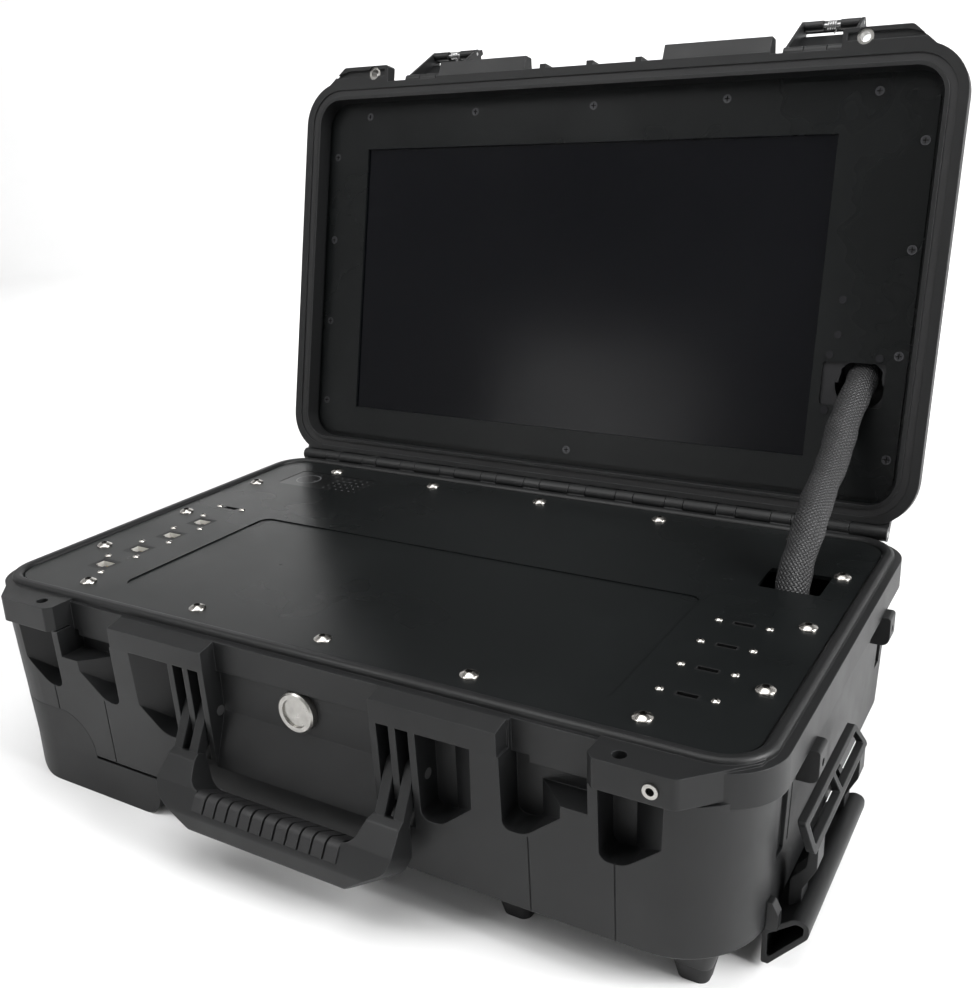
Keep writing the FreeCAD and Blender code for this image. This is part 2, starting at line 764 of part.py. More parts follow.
def base_ears():
    ear = [
        (bay_x1, -cav_y - POCKET_WALL),
        (bay_x1, -body_y),
        (bay_x1 + EAR_OUT, -body_y - EAR_OUT),
        (EAR_X1, -body_y - EAR_OUT),
        (EAR_CORNER_X, -EAR_CORNER_Y),
        (EAR_CORNER_X, -EAR_CORNER_Y + EAR_OUT),
    ]
    block = prism("z", ear, ear_low, ear_top, [0, EAR_NOSE_R / 2, EAR_NOSE_R, EAR_TURN_R, EAR_TURN_R, 0])
    block = block.cut(rod_z(ear_low, ear_top, EAR_HOLE_X, -body_y + EAR_OUT, EAR_HOLE_R))
    return [block, flip_x(block)]


def base_knuckles():
    """Barrels that hold the hinge pin, each on a web down to the flange."""
    width = KNUCKLE_PITCH - LID_KNUCKLE_W - 2 * KNUCKLE_SIDE_GAP
    web = [
        (flange_y - BEAD_W, flange_top),
        (flange_y - BEAD_W, hinge_z - KNUCKLE_R + HINGE_PIN_R),
        (hinge_y, hinge_z + HINGE_PIN_R),
        (hinge_y + KNUCKLE_R, hinge_z),
        (flange_y, flange_low),
        (flange_y - BEAD_W, flange_low),
    ]
    knuckles = []
    for k in range(-LID_KNUCKLES_EACH_SIDE, LID_KNUCKLES_EACH_SIDE):
        middle = KNUCKLE_PITCH * (k + 0.5)
        x0, x1 = middle - width / 2, middle + width / 2
        room = box(x0, x1, flange_y - BEAD_W, hinge_y + KNUCKLE_R, flange_low, hinge_z)
        barrel = rod_x(x0, x1, hinge_y, hinge_z, KNUCKLE_R)
        knuckles.append(barrel.fuse(prism("x", web, x0, x1).common(room)))
    return knuckles


def end_lug(y):
    high = PANEL_TOP_Z - LUG_TOP_DROP
    side = [
        (body_x - END_WALL_W / 2, high - LUG_H),
        (body_x + LUG_OUT, high - LUG_H),
        (body_x + LUG_OUT, high),
        (body_x - END_WALL_W / 2, high),
    ]
    lug = prism("y", side, y - LUG_W / 2, y + LUG_W / 2, [0, LUG_LOW_R, LUG_TOP_R, 0])
    tip = body_x + LUG_OUT
    hole = rod_x(tip - LUG_HOLE_DEEP, tip, y, high - LUG_H / 2, LUG_HOLE_R)
    return lug.cut([hole, body_envelope()])


def hinge_span():
    return KNUCKLE_PITCH * LID_KNUCKLES_EACH_SIDE + LID_KNUCKLE_W / 2


def hinge_trough():
    reach = hinge_span() + KNUCKLE_SIDE_GAP
    return rod_x(-reach, reach, hinge_y, hinge_z, KNUCKLE_R + KNUCKLE_GAP)


def make_base_shell():
    sections = [
        oblong(low_x - BODY_EDGE, low_y - BODY_EDGE, BODY_CORNER_R - BODY_EDGE, BASE_UNDER_Z),
        oblong(low_x, low_y, BODY_CORNER_R, BASE_UNDER_Z + BODY_EDGE),
        oblong(body_x, body_y, BODY_CORNER_R, apron_top),
    ]
    body = Part.makeLoft(sections, True, True)
    cuts = both_sides(front_cuts())
    ramp_low = PANEL_TOP_Z - RECESS_FOOT_DROP
    far = -body_y - EAR_OUT
    ramp = [(recess_y, apron_top), (recess_y, PANEL_TOP_Z - RECESS_RAMP_DROP), (-body_y, ramp_low),
            (far, ramp_low), (far, apron_top)]
    cuts.append(prism("x", ramp, -deck_x0, deck_x0))
    back_low = PANEL_TOP_Z - BACK_LOW_DROP
    back_y = cav_y + BACK_RECESS_WALL
    back = [(-BACK_RECESS_X, apron_top), (-BACK_RECESS_X, back_low), (BACK_RECESS_X, back_low),
            (BACK_RECESS_X, apron_top)]
    back_cut = prism("y", back, back_y, body_y + WALL, [0, POCKET_CORNER_R, POCKET_CORNER_R, 0])
    ribs = [box(x - BACK_RIB_W / 2, x + BACK_RIB_W / 2, back_y, body_y + WALL, back_low, apron_top)
            for x in BACK_RIB_X]
    cuts.append(back_cut.cut(both_sides(ribs)))
    for side in (-1, 1):
        y0 = side * CHANNEL_Y - CHANNEL_W / 2
        channel = box(body_x - CHANNEL_DEEP, body_x + WALL, y0, y0 + CHANNEL_W, CHANNEL_LOW_Z, flange_low)
        cuts += both_sides([channel])
    groove_x = body_x - END_GROOVE_DEEP - BODY_DRAFT / 2
    groove_y = -END_GROOVE_Y
    cuts.append(box(groove_x, body_x + WALL, groove_y, groove_y + END_GROOVE_W, CHANNEL_LOW_Z, flange_low))
    body = body.cut(cuts)

    flange = slab(flange_x, flange_y, cav_r + FLANGE_W, flange_low, flange_top)
    bead = slab(cav_x + BEAD_W, cav_y + BEAD_W, cav_r + BEAD_W, flange_top - BEAD_RISE, bead_top)
    bead = bead.cut(slab(cav_x, cav_y, cav_r, flange_low, bead_top))
    crest = [e for e in bead.Edges if e.BoundBox.ZMin > bead_top - EDGE_NEAR]
    bead = bead.makeFillet(BEAD_EDGE_R, crest)
    deck_side = [(-cav_y, apron_top), (-body_y, apron_top), (-body_y, PANEL_TOP_Z - DECK_EDGE_DROP),
                 (-flange_y, flange_top), (-cav_y, flange_top)]
    decks = both_sides([prism("x", deck_side, deck_x0, DECK_X1)])
    rim = flange.fuse([bead] + decks + base_ears())
    catch_front = box(bay_x0, bay_x1, -body_y - 2 * EAR_OUT, recess_y, catch_low, bead_top)
    rim = rim.cut(both_sides([catch_front.common(box(DECK_X1, bay_x1, -body_y * 2, 0, 0, bead_top))]))
    shell = body.fuse(rim)

    room = slab(cav_x, cav_y, cav_r, floor_in + LOWER_ROOM_H - WALL, bead_top)
    lower_r = BODY_CORNER_R - WALL
    end_in = END_WALL_W + WALL - POCKET_WALL
    room = room.cut(slab(cav_x, cav_y, cav_r, 0, flange_low).cut(
        slab(body_x - CHANNEL_DEEP - POCKET_WALL, cav_y, cav_r, 0, flange_low)))
    lower = slab(low_x - end_in, low_y - WALL, lower_r, floor_in, floor_in + LOWER_ROOM_H)
    room = room.fuse(lower)
    well_top = BOOT_TOP_Z + WALL
    wells = []
    for mirrored in (False, True):
        y0, y1 = -body_y, -low_y + BOOT_IN + WALL
        block = box(-body_x, BOOT_ARCH_X + WALL, y0, y1, BASE_UNDER_Z, well_top).fuse(wheel_room(WALL))
        wells.append(flip_y(block) if mirrored else block)
    shell = shell.cut(room.cut(wells))
    boots = [boot_block(), flip_y(boot_block())]
    rooms = [wheel_room(0), flip_y(wheel_room(0))]
    shell = shell.cut(boots + rooms)
    shell = shell.cut(hinge_trough())
    shell = shell.fuse(base_knuckles())
    holes = [rod_x(-hinge_span(), hinge_span(), hinge_y, hinge_z, HINGE_PIN_R)]
    holes += both_sides([rod_x(deck_x0, pocket_x0, handle_y, handle_z, PIN_R)])
    eyelet_y = -body_y - EAR_OUT
    eyelet_z = PANEL_TOP_Z - EYELET_DROP
    holes.append(rod_y(eyelet_y, eyelet_y + EYELET_DEEP, EYELET_X, eyelet_z, EYELET_R - EYELET_LIP))
    return shell.cut(holes)


def make_eyelet():
    """A flanged metal ring set in the front of the right ear."""
    face = -body_y - EAR_OUT
    z = PANEL_TOP_Z - EYELET_DROP
    ring = rod_y(face - EYELET_LIP, face, EYELET_X, z, EYELET_R)
    ring = ring.fuse(rod_y(face, face + EYELET_DEEP, EYELET_X, z, EYELET_R - EYELET_LIP))
    return ring.cut(rod_y(face - EYELET_LIP, face + EYELET_DEEP, EYELET_X, z, EYELET_HOLE_R))


def make_panel_seat():
    ring = slab(cav_x, cav_y, cav_r, seat_under, panel_under)
    ring = ring.cut(slab(cav_x - SEAT_W, cav_y - SEAT_W, SEAT_INNER_R, seat_under, panel_under))
    return ring.cut([rod_z(seat_under, panel_under, x, y, SCREW_SHANK_R) for x, y in screw_spots()])


def make_panel():
    sheet = slab(PANEL_HALF_X, PANEL_HALF_Y, PANEL_CORNER_R, panel_under, PANEL_TOP_Z)
    cuts = [rod_z(panel_under, PANEL_TOP_Z, x, y, SCREW_SHANK_R) for x, y in screw_spots()]
    cuts += [rod_z(panel_under, PANEL_TOP_Z, x, y, SMALL_SHANK_R) for x, y in small_screw_spots()]
    for x, y in jack_spots():
        cuts.append(box(x - JACK_HALF_X, x + JACK_HALF_X, y - JACK_HALF_Y, y + JACK_HALF_Y,
                        panel_under, PANEL_TOP_Z))
    for x, y in port_spots() + [(SIDE_PORT_X, SIDE_PORT_Y)]:
        cuts.append(plate(x - PORT_HALF_X, x + PORT_HALF_X, y - PORT_HALF_Y, y + PORT_HALF_Y, PORT_WALL,
                          panel_under, PANEL_TOP_Z))
    cuts.append(plate(CABLE_GATE_X0, CABLE_GATE_X1, CABLE_GATE_Y0, CABLE_GATE_Y1, CABLE_GATE_R,
                      panel_under, PANEL_TOP_Z))
    tray_z = PANEL_TOP_Z - TRAY_DEEP
    cuts.append(plate(-TRAY_HALF_X, TRAY_HALF_X, TRAY_Y0, TRAY_Y1, TRAY_R, tray_z, PANEL_TOP_Z))
    keypad_z = PANEL_TOP_Z - KEYPAD_DEEP
    cuts.append(plate(KEYPAD_X0, KEYPAD_X1, KEYPAD_Y0, KEYPAD_Y1, KEYPAD_R, keypad_z, PANEL_TOP_Z))
    return sheet.cut(cuts)


def make_keypad():
    low = PANEL_TOP_Z - KEYPAD_DEEP
    return plate(KEYPAD_X0, KEYPAD_X1, KEYPAD_Y0, KEYPAD_Y1, KEYPAD_R, low, low + KEYPAD_THICK)


def dome_screw(x, y, z, head_r, head_h, shank_r, deep):
    """A domed head on a plain shank, turned about its own axis, with a round drive socket."""
    sag = head_h * DOME_SAG
    top = z + head_h
    drive_r = head_r * DRIVE_R
    line = [V(drive_r, 0, top), V(drive_r, 0, top - sag), V(0, 0, top - sag), V(0, 0, z - deep),
            V(shank_r, 0, z - deep), V(shank_r, 0, z), V(head_r, 0, z), V(head_r, 0, top - 2 * sag)]
    bulge = V(head_r * DOME_BULGE_R, 0, top - DOME_BULGE_DROP * sag)
    profile = [Part.LineSegment(a, b).toShape() for a, b in zip(line, line[1:])]
    profile.append(Part.Arc(line[-1], bulge, line[0]).toShape())
    turned = Part.Face(Part.Wire(profile)).revolve(V(0, 0, 0), V(0, 0, 1), 360)
    turned.translate(V(x, y, 0))
    return turned


def make_jack(x, y):
    """A socket block that fills its cut-out, with a ledge under the panel and a stepped mouth."""
    top = PANEL_TOP_Z
    block = box(x - JACK_HALF_X, x + JACK_HALF_X, y - JACK_HALF_Y, y + JACK_HALF_Y, top - JACK_DEEP, top)
    ledge = box(x - JACK_HALF_X - JACK_LEDGE, x + JACK_HALF_X + JACK_LEDGE, y - JACK_HALF_Y - JACK_LEDGE,
                y + JACK_HALF_Y + JACK_LEDGE, panel_under - JACK_LEDGE, panel_under)
    front = y - JACK_MOUTH_Y
    shoulder = front + JACK_NOTCH_Y
    right = [(x + JACK_NOTCH_X, front), (x + JACK_NOTCH_X, shoulder), (x + JACK_MOUTH_X, shoulder),
             (x + JACK_MOUTH_X, y + JACK_MOUTH_Y)]
    mouth = right + [(2 * x - px, py) for px, py in reversed(right)]
    solid = block.fuse(ledge).cut(prism("z", mouth, top - JACK_MOUTH_DEEP, top))
    holes = [rod_z(panel_under - SMALL_SCREW_DEEP, panel_under, sx, sy, SMALL_SHANK_R + RUN_GAP)
             for sx, sy in small_screw_spots()]
    return solid.cut(holes)


def make_port(x, y):
    top = PANEL_TOP_Z
    block = plate(x - PORT_HALF_X, x + PORT_HALF_X, y - PORT_HALF_Y, y + PORT_HALF_Y, PORT_WALL,
                  top - PORT_DEEP, top)
    ledge = plate(x - PORT_HALF_X - PORT_WALL, x + PORT_HALF_X + PORT_WALL, y - PORT_HALF_Y - PORT_WALL,
                  y + PORT_HALF_Y + PORT_WALL, PORT_WALL, panel_under - JACK_LEDGE, panel_under)
    mouth = box(x - PORT_HALF_X + PORT_WALL, x + PORT_HALF_X - PORT_WALL, y - PORT_HALF_Y + PORT_WALL,
                y + PORT_HALF_Y - PORT_WALL, top - PORT_MOUTH_DEEP, top)
    return block.fuse(ledge).cut(mouth)


def cord_path(points):
    """Straight runs joined by tangent arcs, with the points where each arc starts and ends."""
    spots = [V(*p) for p in points]
    edges = []
    radii = []
    start = spots[0]
    for before, corner, after in zip(spots, spots[1:], spots[2:]):
        back = before - corner
        ahead = after - corner
        run = BEND_SHARE * min(back.Length, ahead.Length)
        back.normalize()
        ahead.normalize()
        half = back.getAngle(ahead) / 2
        radius = run * math.tan(half)
        middle = (back + ahead).normalize() * (radius / math.sin(half) - radius)
        edges.append(Part.LineSegment(start, corner + back * run).toShape())
        edges.append(Part.Arc(corner + back * run, corner + middle, corner + ahead * run).toShape())
        radii.append(radius)
        start = corner + ahead * run
    edges.append(Part.LineSegment(start, spots[-1]).toShape())
    return Part.Wire(edges), radii


def make_cable():
    path, radii = cord_path(CABLE_POINTS)
    start = V(*CABLE_POINTS[0])
    ring = Part.Wire(Part.makeCircle(CABLE_R, start, V(*CABLE_POINTS[1]) - start))
    tube = path.makePipeShell([ring], True, False)
    print("cable bend radii", [round(r, 1) for r in radii])
    swept = math.pi * CABLE_R ** 2 * path.Length
    print("cable volume", round(tube.Volume), "section times length", round(swept))
    return tube


def cable_end(last, inner):
    """The clamp collar on one end of the cable, square to the run that it holds."""
    end = V(*last)
    out = (end - V(*inner)).normalize()
    return rod(end, out * CLAMP_LONG, CLAMP_R)


def make_base_clamp():
    collar = cable_end(CABLE_POINTS[0], CABLE_POINTS[1])
    low = collar.BoundBox.ZMin
    y1 = CABLE_GATE_Y0 - CLAMP_FOOT
    middle = CABLE_POINTS[0][0]
    stem = box(middle - CLAMP_R, middle + CLAMP_R, y1 - CLAMP_PLATE, y1, low, panel_under)
    y0 = y1 - CLAMP_PLATE - CLAMP_FOOT
    foot = box(middle - CLAMP_R, middle + CLAMP_R, y0, y1, panel_under - CLAMP_PLATE, panel_under)
    return collar.fuse([stem, foot])


def make_lid_clamp():
    """The grey bracket behind the lid panel's window, with the collar that holds the cable's end."""
    back = lid_panel_back
    collar = cable_end(CABLE_POINTS[-1], CABLE_POINTS[-2])
    sheet = plate(WINDOW_X0 - BRACKET_LAP_X, WINDOW_X1 + BRACKET_LAP_X, WINDOW_Y0 - BRACKET_LAP,
                  WINDOW_Y1 + BRACKET_LAP, WINDOW_R, back, back + BRACKET_STAND)
    bounds = turned_x(collar, hinge_y, hinge_z, LID_OPEN).BoundBox
    middle = CABLE_POINTS[-1][0]
    room_y = (WINDOW_Y0 + WINDOW_Y1) / 2
    cable_room = rod_z(back, back + BRACKET_STAND, middle, room_y, CLAMP_R + BRACKET_STAND)
    posts = []
    for side in (-1, 1):
        x0 = middle + side * (CLAMP_R - BRACKET_STAND)
        x1 = middle + side * (CLAMP_R + BRACKET_POST)
        posts.append(box(min(x0, x1), max(x0, x1), bounds.YMin + BRACKET_LAP, bounds.YMax - BRACKET_LAP, back,
                         bounds.ZMax - BRACKET_STAND))
    solid = lid_opened(sheet.cut(cable_room).fuse(posts))
    end = V(*CABLE_POINTS[-1])
    inward = (V(*CABLE_POINTS[-2]) - end).normalize()
    return solid.cut(rod(end, inward * CLAMP_LONG * 4, CLAMP_R - BRACKET_STAND / 2)).fuse(collar)


def make_disc():
    """A plain round disc on the recess's back wall, with a dished face."""
    z = PANEL_TOP_Z - DISC_DROP
    disc = rod_y(recess_y - DISC_THICK, recess_y, 0, z, DISC_R)
    face_y = recess_y - DISC_THICK
    disc = disc.makeChamfer(DISC_EDGE, [e for e in disc.Edges if e.BoundBox.YMax < face_y + EDGE_NEAR])
    return disc.cut(rod_y(face_y, face_y + DISC_DISH_DEEP, 0, z, DISC_DISH_R))


def make_boot():
    boot = boot_block().common(body_envelope())
    tail = box(BOOT_ARCH_X + WALL, 0, -low_y + BOOT_TAIL_IN, 0, 0, BASE_UNDER_Z)
    heel = box(-body_x, -low_x + BOOT_HEEL_R, -body_y, 0, 0, BOOT_HEEL_R)
    heel = heel.cut(rod_y(-body_y, 0, -low_x + BOOT_HEEL_R, BOOT_HEEL_R, BOOT_HEEL_R))
    boot = boot.cut([tail, heel, wheel_room(0)])
    return boot.cut(axle())


def axle():
    half = WHEEL_W / 2 + WHEEL_SIDE_GAP + AXLE_SEAT
    return rod_y(-WHEEL_Y - half, -WHEEL_Y + half, WHEEL_X, WHEEL_Z, AXLE_R)


def make_wheel():
    """Hub with a dished face on each side, and the tyre round it."""
    y0, y1 = -WHEEL_Y - WHEEL_W / 2, -WHEEL_Y + WHEEL_W / 2
    hub_r = WHEEL_R - TYRE_THICK
    hub = rod_y(y0, y1, WHEEL_X, WHEEL_Z, hub_r)
    dish = rod_y(y0, y0 + TYRE_THICK, WHEEL_X, WHEEL_Z, hub_r - WALL)
    dish = dish.cut(rod_y(y0, y0 + TYRE_THICK, WHEEL_X, WHEEL_Z, AXLE_R + WALL))
    far_dish = dish.copy()
    far_dish.translate(V(0, WHEEL_W - TYRE_THICK, 0))
    hub = hub.cut([dish, far_dish, rod_y(y0, y1, WHEEL_X, WHEEL_Z, AXLE_R + RUN_GAP)])
    tyre = rod_y(y0, y1, WHEEL_X, WHEEL_Z, WHEEL_R)
    tyre = tyre.makeFillet(TYRE_THICK / 3, [e for e in tyre.Edges if e.Curve.TypeId == "Part::GeomCircle"])
    return hub, tyre.cut(rod_y(y0, y1, WHEEL_X, WHEEL_Z, hub_r))


def foot_spots(shape):
    """Copies of one foot piece at the four places under the base."""
    placed = []
    for x in FOOT_X:
        foot = shape.copy()
        foot.translate(V(x, -low_y + FOOT_IN, 0))
        placed += [foot, flip_y(foot)]
    return placed


def make_feet():
    tip = (FOOT_HALF_X - FOOT_TAPER, FOOT_HALF_Y - FOOT_TAPER, FOOT_R)
    return foot_spots(taper(tip, (FOOT_HALF_X, FOOT_HALF_Y, FOOT_R), 0, FOOT_H))


def pedestals():
    root = (FOOT_HALF_X + PEDESTAL_TAPER, FOOT_HALF_Y + PEDESTAL_TAPER, FOOT_R)
    return foot_spots(taper((FOOT_HALF_X, FOOT_HALF_Y, FOOT_R), root, FOOT_H, BASE_UNDER_Z))


def out_from_end(section):
    """Section points given as (out, height) from the case's end wall."""
    return [(body_x + out, z) for out, z in section]


def pull_outer():
    return prism("y", out_from_end(PULL_SECTION), PULL_FRONT_Y, PULL_BACK_Y, PULL_RADII)


def make_pull_grip():
    """Tube of the pull grip: flat towards the case, round outside, open at the front end."""
    outer = pull_outer()
    section = out_from_end(PULL_BORE_SECTION)
    bore = prism("y", section, PULL_FRONT_Y, PULL_BACK_Y - PULL_END_WALL, PULL_BORE_RADII)
    far = [e for e in outer.Edges if e.BoundBox.YMin > PULL_BACK_Y - EDGE_NEAR]
    rounded = outer.makeFillet(PULL_END_R, far)
    return rounded.cut(bore)


def rail_mids():
    return (PULL_MID_Y - RAIL_SPREAD, PULL_MID_Y + RAIL_SPREAD)


def make_rails():
    rails = []
    for y in rail_mids():
        tube = box(PULL_IN_X - RAIL_LONG, PULL_IN_X, y - RAIL_W / 2, y + RAIL_W / 2, RAIL_Z, RAIL_Z + RAIL_H)
        bore = box(PULL_IN_X - RAIL_LONG, PULL_IN_X, y - RAIL_W / 2 + RAIL_WALL, y + RAIL_W / 2 - RAIL_WALL,
                   RAIL_Z + RAIL_WALL, RAIL_Z + RAIL_H - RAIL_WALL)
        rails.append(tube.cut(bore))
    return rails


def make_guides():
    """Channels under the base that the two rails slide in."""
    guides = []
    x0, x1 = GUIDE_X1 - GUIDE_LONG, GUIDE_X1
    room_y = RAIL_W / 2 + GUIDE_GAP
    for y in rail_mids():
        block = box(x0, x1, y - room_y - GUIDE_WALL, y + room_y + GUIDE_WALL, RAIL_Z - GUIDE_GAP - GUIDE_WALL,
                    BASE_UNDER_Z)
        room = box(x0, x1, y - room_y, y + room_y, RAIL_Z - GUIDE_GAP, RAIL_Z + RAIL_H + GUIDE_GAP)
        guides.append(block.cut(room))
    return guides


def make_pull_frame():
    """Leaning frame with two windows over the grip, on a curved arm at each end."""
    lean = [(FRAME_LOW_X - FRAME_THICK, FRAME_LOW_Z), (FRAME_LOW_X, FRAME_LOW_Z), (FRAME_TOP_X, FRAME_TOP_Z),
            (FRAME_TOP_X - FRAME_THICK, FRAME_TOP_Z)]
    wide = FRAME_LOW_HALF_Y
    sheet = prism("y", lean, PULL_MID_Y - wide, PULL_MID_Y + wide)
    outline = [(PULL_MID_Y - wide, FRAME_LOW_Z), (PULL_MID_Y + wide, FRAME_LOW_Z),
               (PULL_MID_Y + FRAME_TOP_HALF_Y, FRAME_TOP_Z), (PULL_MID_Y - FRAME_TOP_HALF_Y, FRAME_TOP_Z)]
    frame = sheet.common(prism("x", outline, body_x, PULL_OUT_X + WALL,
                                [FRAME_LOW_R, FRAME_LOW_R, FRAME_TOP_R, FRAME_TOP_R]))
    windows = []
    for side in (-1, 1):
        near = PULL_MID_Y + side * FRAME_BAR / 2
        low_far = PULL_MID_Y + side * (FRAME_LOW_HALF_Y - FRAME_SIDE_BAR)
        high_far = PULL_MID_Y + side * (FRAME_TOP_HALF_Y - FRAME_BAR)
        hole = [(near, FRAME_LOW_Z + FRAME_EDGE), (low_far, FRAME_LOW_Z + FRAME_EDGE),
                (high_far, FRAME_TOP_Z - FRAME_EDGE), (near, FRAME_TOP_Z - FRAME_EDGE)]
        windows.append(prism("x", hole, body_x, PULL_OUT_X + WALL, FRAME_WINDOW_R))
    frame = frame.cut(windows)
    arm_front = PULL_OUT_X - ARM_FACE_IN
    arm_back = arm_front - ARM_THICK
    knee_z = FRAME_LOW_Z - ARM_STRAIGHT
    arm_side = [(FRAME_LOW_X - FRAME_THICK, FRAME_LOW_Z + FRAME_EDGE / 2), (FRAME_LOW_X, FRAME_LOW_Z),
                (FRAME_LOW_X, knee_z), (arm_front, PULL_TOP_Z + ARM_BEND_OUT),
                (arm_front, PULL_TOP_Z - ARM_SINK), (arm_back, PULL_TOP_Z - ARM_SINK),
                (arm_back, PULL_TOP_Z + ARM_BEND_IN),
                (FRAME_LOW_X - FRAME_THICK - ARM_SWELL, knee_z)]
    bends = [0, 0, ARM_BEND_R, ARM_BEND_R, 0, 0, ARM_BEND_R, ARM_BEND_R]
    arms = []
    for side in (-1, 1):
        y = PULL_MID_Y + side * (FRAME_LOW_HALF_Y - ARM_W)
        arms.append(prism("y", arm_side, y - ARM_W / 2, y + ARM_W / 2, bends))
    return frame.fuse(arms).cut(pull_outer())


def make_clips():
    """Hooks on the end wall, one past each end of the pull grip."""
    clips = []
    wall_x = low_x
    z0 = BASE_UNDER_Z + BODY_EDGE
    for y in (PULL_FRONT_Y - CLIP_GAP - CLIP_W, PULL_BACK_Y + CLIP_GAP):
        side = [(wall_x - WALL, z0), (wall_x + CLIP_OUT, z0), (wall_x + CLIP_OUT, z0 + CLIP_LIP_H),
                (wall_x + CLIP_OUT / 2, z0 + CLIP_H), (wall_x - WALL, z0 + CLIP_H)]
        hook = prism("y", side, y, y + CLIP_W, [0, CLIP_EDGE_R, CLIP_EDGE_R, CLIP_TOP_R, 0])
        clips.append(hook.cut(body_envelope()))
    return clips


def prong_mids():
    return [(rib_xs[k] + rib_xs[k + 1]) / 2 for k in range(2)]


def hung(points):
    """Side profile given as (down, out) from the handle's pin, in the pose where it hangs straight."""
    return [(handle_y - out, handle_z - down) for down, out in points]


def grip_side(inset):
    """Side profile of the ribbed pad, drawn in by inset on its three free sides."""
    top = HANDLE_LONG - HANDLE_BAR_W - GRIP_PROUD + inset
    low = HANDLE_LONG - HANDLE_BAR_W + GRIP_DEEP
    back = -HANDLE_BACK - GRIP_PROUD + inset
    front = HANDLE_FRONT + GRIP_PROUD - inset
    return hung([(top, back), (low, back), (low, front), (top, front)])


def make_handle():
    """Bow of the handle with four prongs, and the ribbed pad along the upper side of its bar."""
    bar_top = HANDLE_LONG - HANDLE_BAR_W
    side = [
        (HANDLE_SEAM, HANDLE_SEAM_OUT),
        (HANDLE_SEAM, -HANDLE_SEAM_IN),
        (bar_top, -HANDLE_BACK),
        (HANDLE_LONG - HANDLE_CHIN, -HANDLE_BACK + HANDLE_SEAM_IN),
        (HANDLE_LONG, -HANDLE_TOE_IN),
        (HANDLE_LONG, HANDLE_SEAM_OUT),
        (HANDLE_LONG - HANDLE_NOSE, HANDLE_FRONT),
        (bar_top, HANDLE_FRONT),
        (HANDLE_SEAM + HANDLE_BROW, HANDLE_BROW_OUT),
    ]
    bow = prism("x", hung(side), -HANDLE_HALF_X, HANDLE_HALF_X, HANDLE_SIDE_RADII)
    outer_seam = HANDLE_HALF_X - HANDLE_SEAM_IN
    inner_seam = outer_seam - HANDLE_ARM_W
    right = [
        (inner_seam - HANDLE_SPLAY, bar_top),
        (inner_seam, HANDLE_SEAM - HANDLE_SEAM_STEP),
        (outer_seam, HANDLE_SEAM - HANDLE_SEAM_STEP),
        (HANDLE_HALF_X, bar_top),
        (HANDLE_HALF_X - HANDLE_SEAM_STEP, HANDLE_LONG - HANDLE_CORNER),
        (HANDLE_FLAT_X, HANDLE_LONG + RIB_W),
    ]
    outline = right + [(-x, down) for x, down in reversed(right)]
    front = [(x, handle_z - down) for x, down in outline]
    far = HANDLE_FRONT + HANDLE_BACK
    face = prism("y", front, handle_y - far, handle_y + far, HANDLE_FACE_RADII + HANDLE_FACE_RADII[::-1])
    bow = bow.common(face)
    prongs = []
    for x in prong_mids():
        x0, x1 = x - PRONG_W / 2, x + PRONG_W / 2
        shank = hung([(0, PRONG_R), (HANDLE_SEAM, HANDLE_SEAM_OUT), (HANDLE_SEAM, -HANDLE_SEAM_IN),
                      (0, -PRONG_R)])
        prongs.append(prism("x", shank, x0, x1).fuse(rod_x(x0, x1, handle_y, handle_z, PRONG_R)))
    bow = bow.fuse(both_sides(prongs))
    bore = rod_x(-HANDLE_HALF_X, HANDLE_HALF_X, handle_y, handle_z, PIN_R + RUN_GAP)
    pad_top = handle_z - bar_top + GRIP_PROUD
    pad_low = handle_z - bar_top - GRIP_DEEP
    pad_room = box(-GRIP_HALF_X, GRIP_HALF_X, handle_y - far, handle_y + far, pad_low, pad_top)
    bow = bow.cut([bore, pad_room])
    radii = [GRIP_EDGE_R, 0, 0, GRIP_EDGE_R]
    pad = prism("x", grip_side(0), -GRIP_HALF_X, GRIP_HALF_X, radii)
    step = 2 * GRIP_HALF_X / GRIP_SEGMENTS
    grooves = []
    for k in range(1, GRIP_SEGMENTS):
        x0 = -GRIP_HALF_X + step * k - GRIP_GROOVE / 2
        band = prism("x", grip_side(0), x0, x0 + GRIP_GROOVE, radii)
        grooves.append(band.cut(prism("x", grip_side(GRIP_GROOVE_DEEP), x0, x0 + GRIP_GROOVE, radii)))
    return bow, pad.cut(grooves)


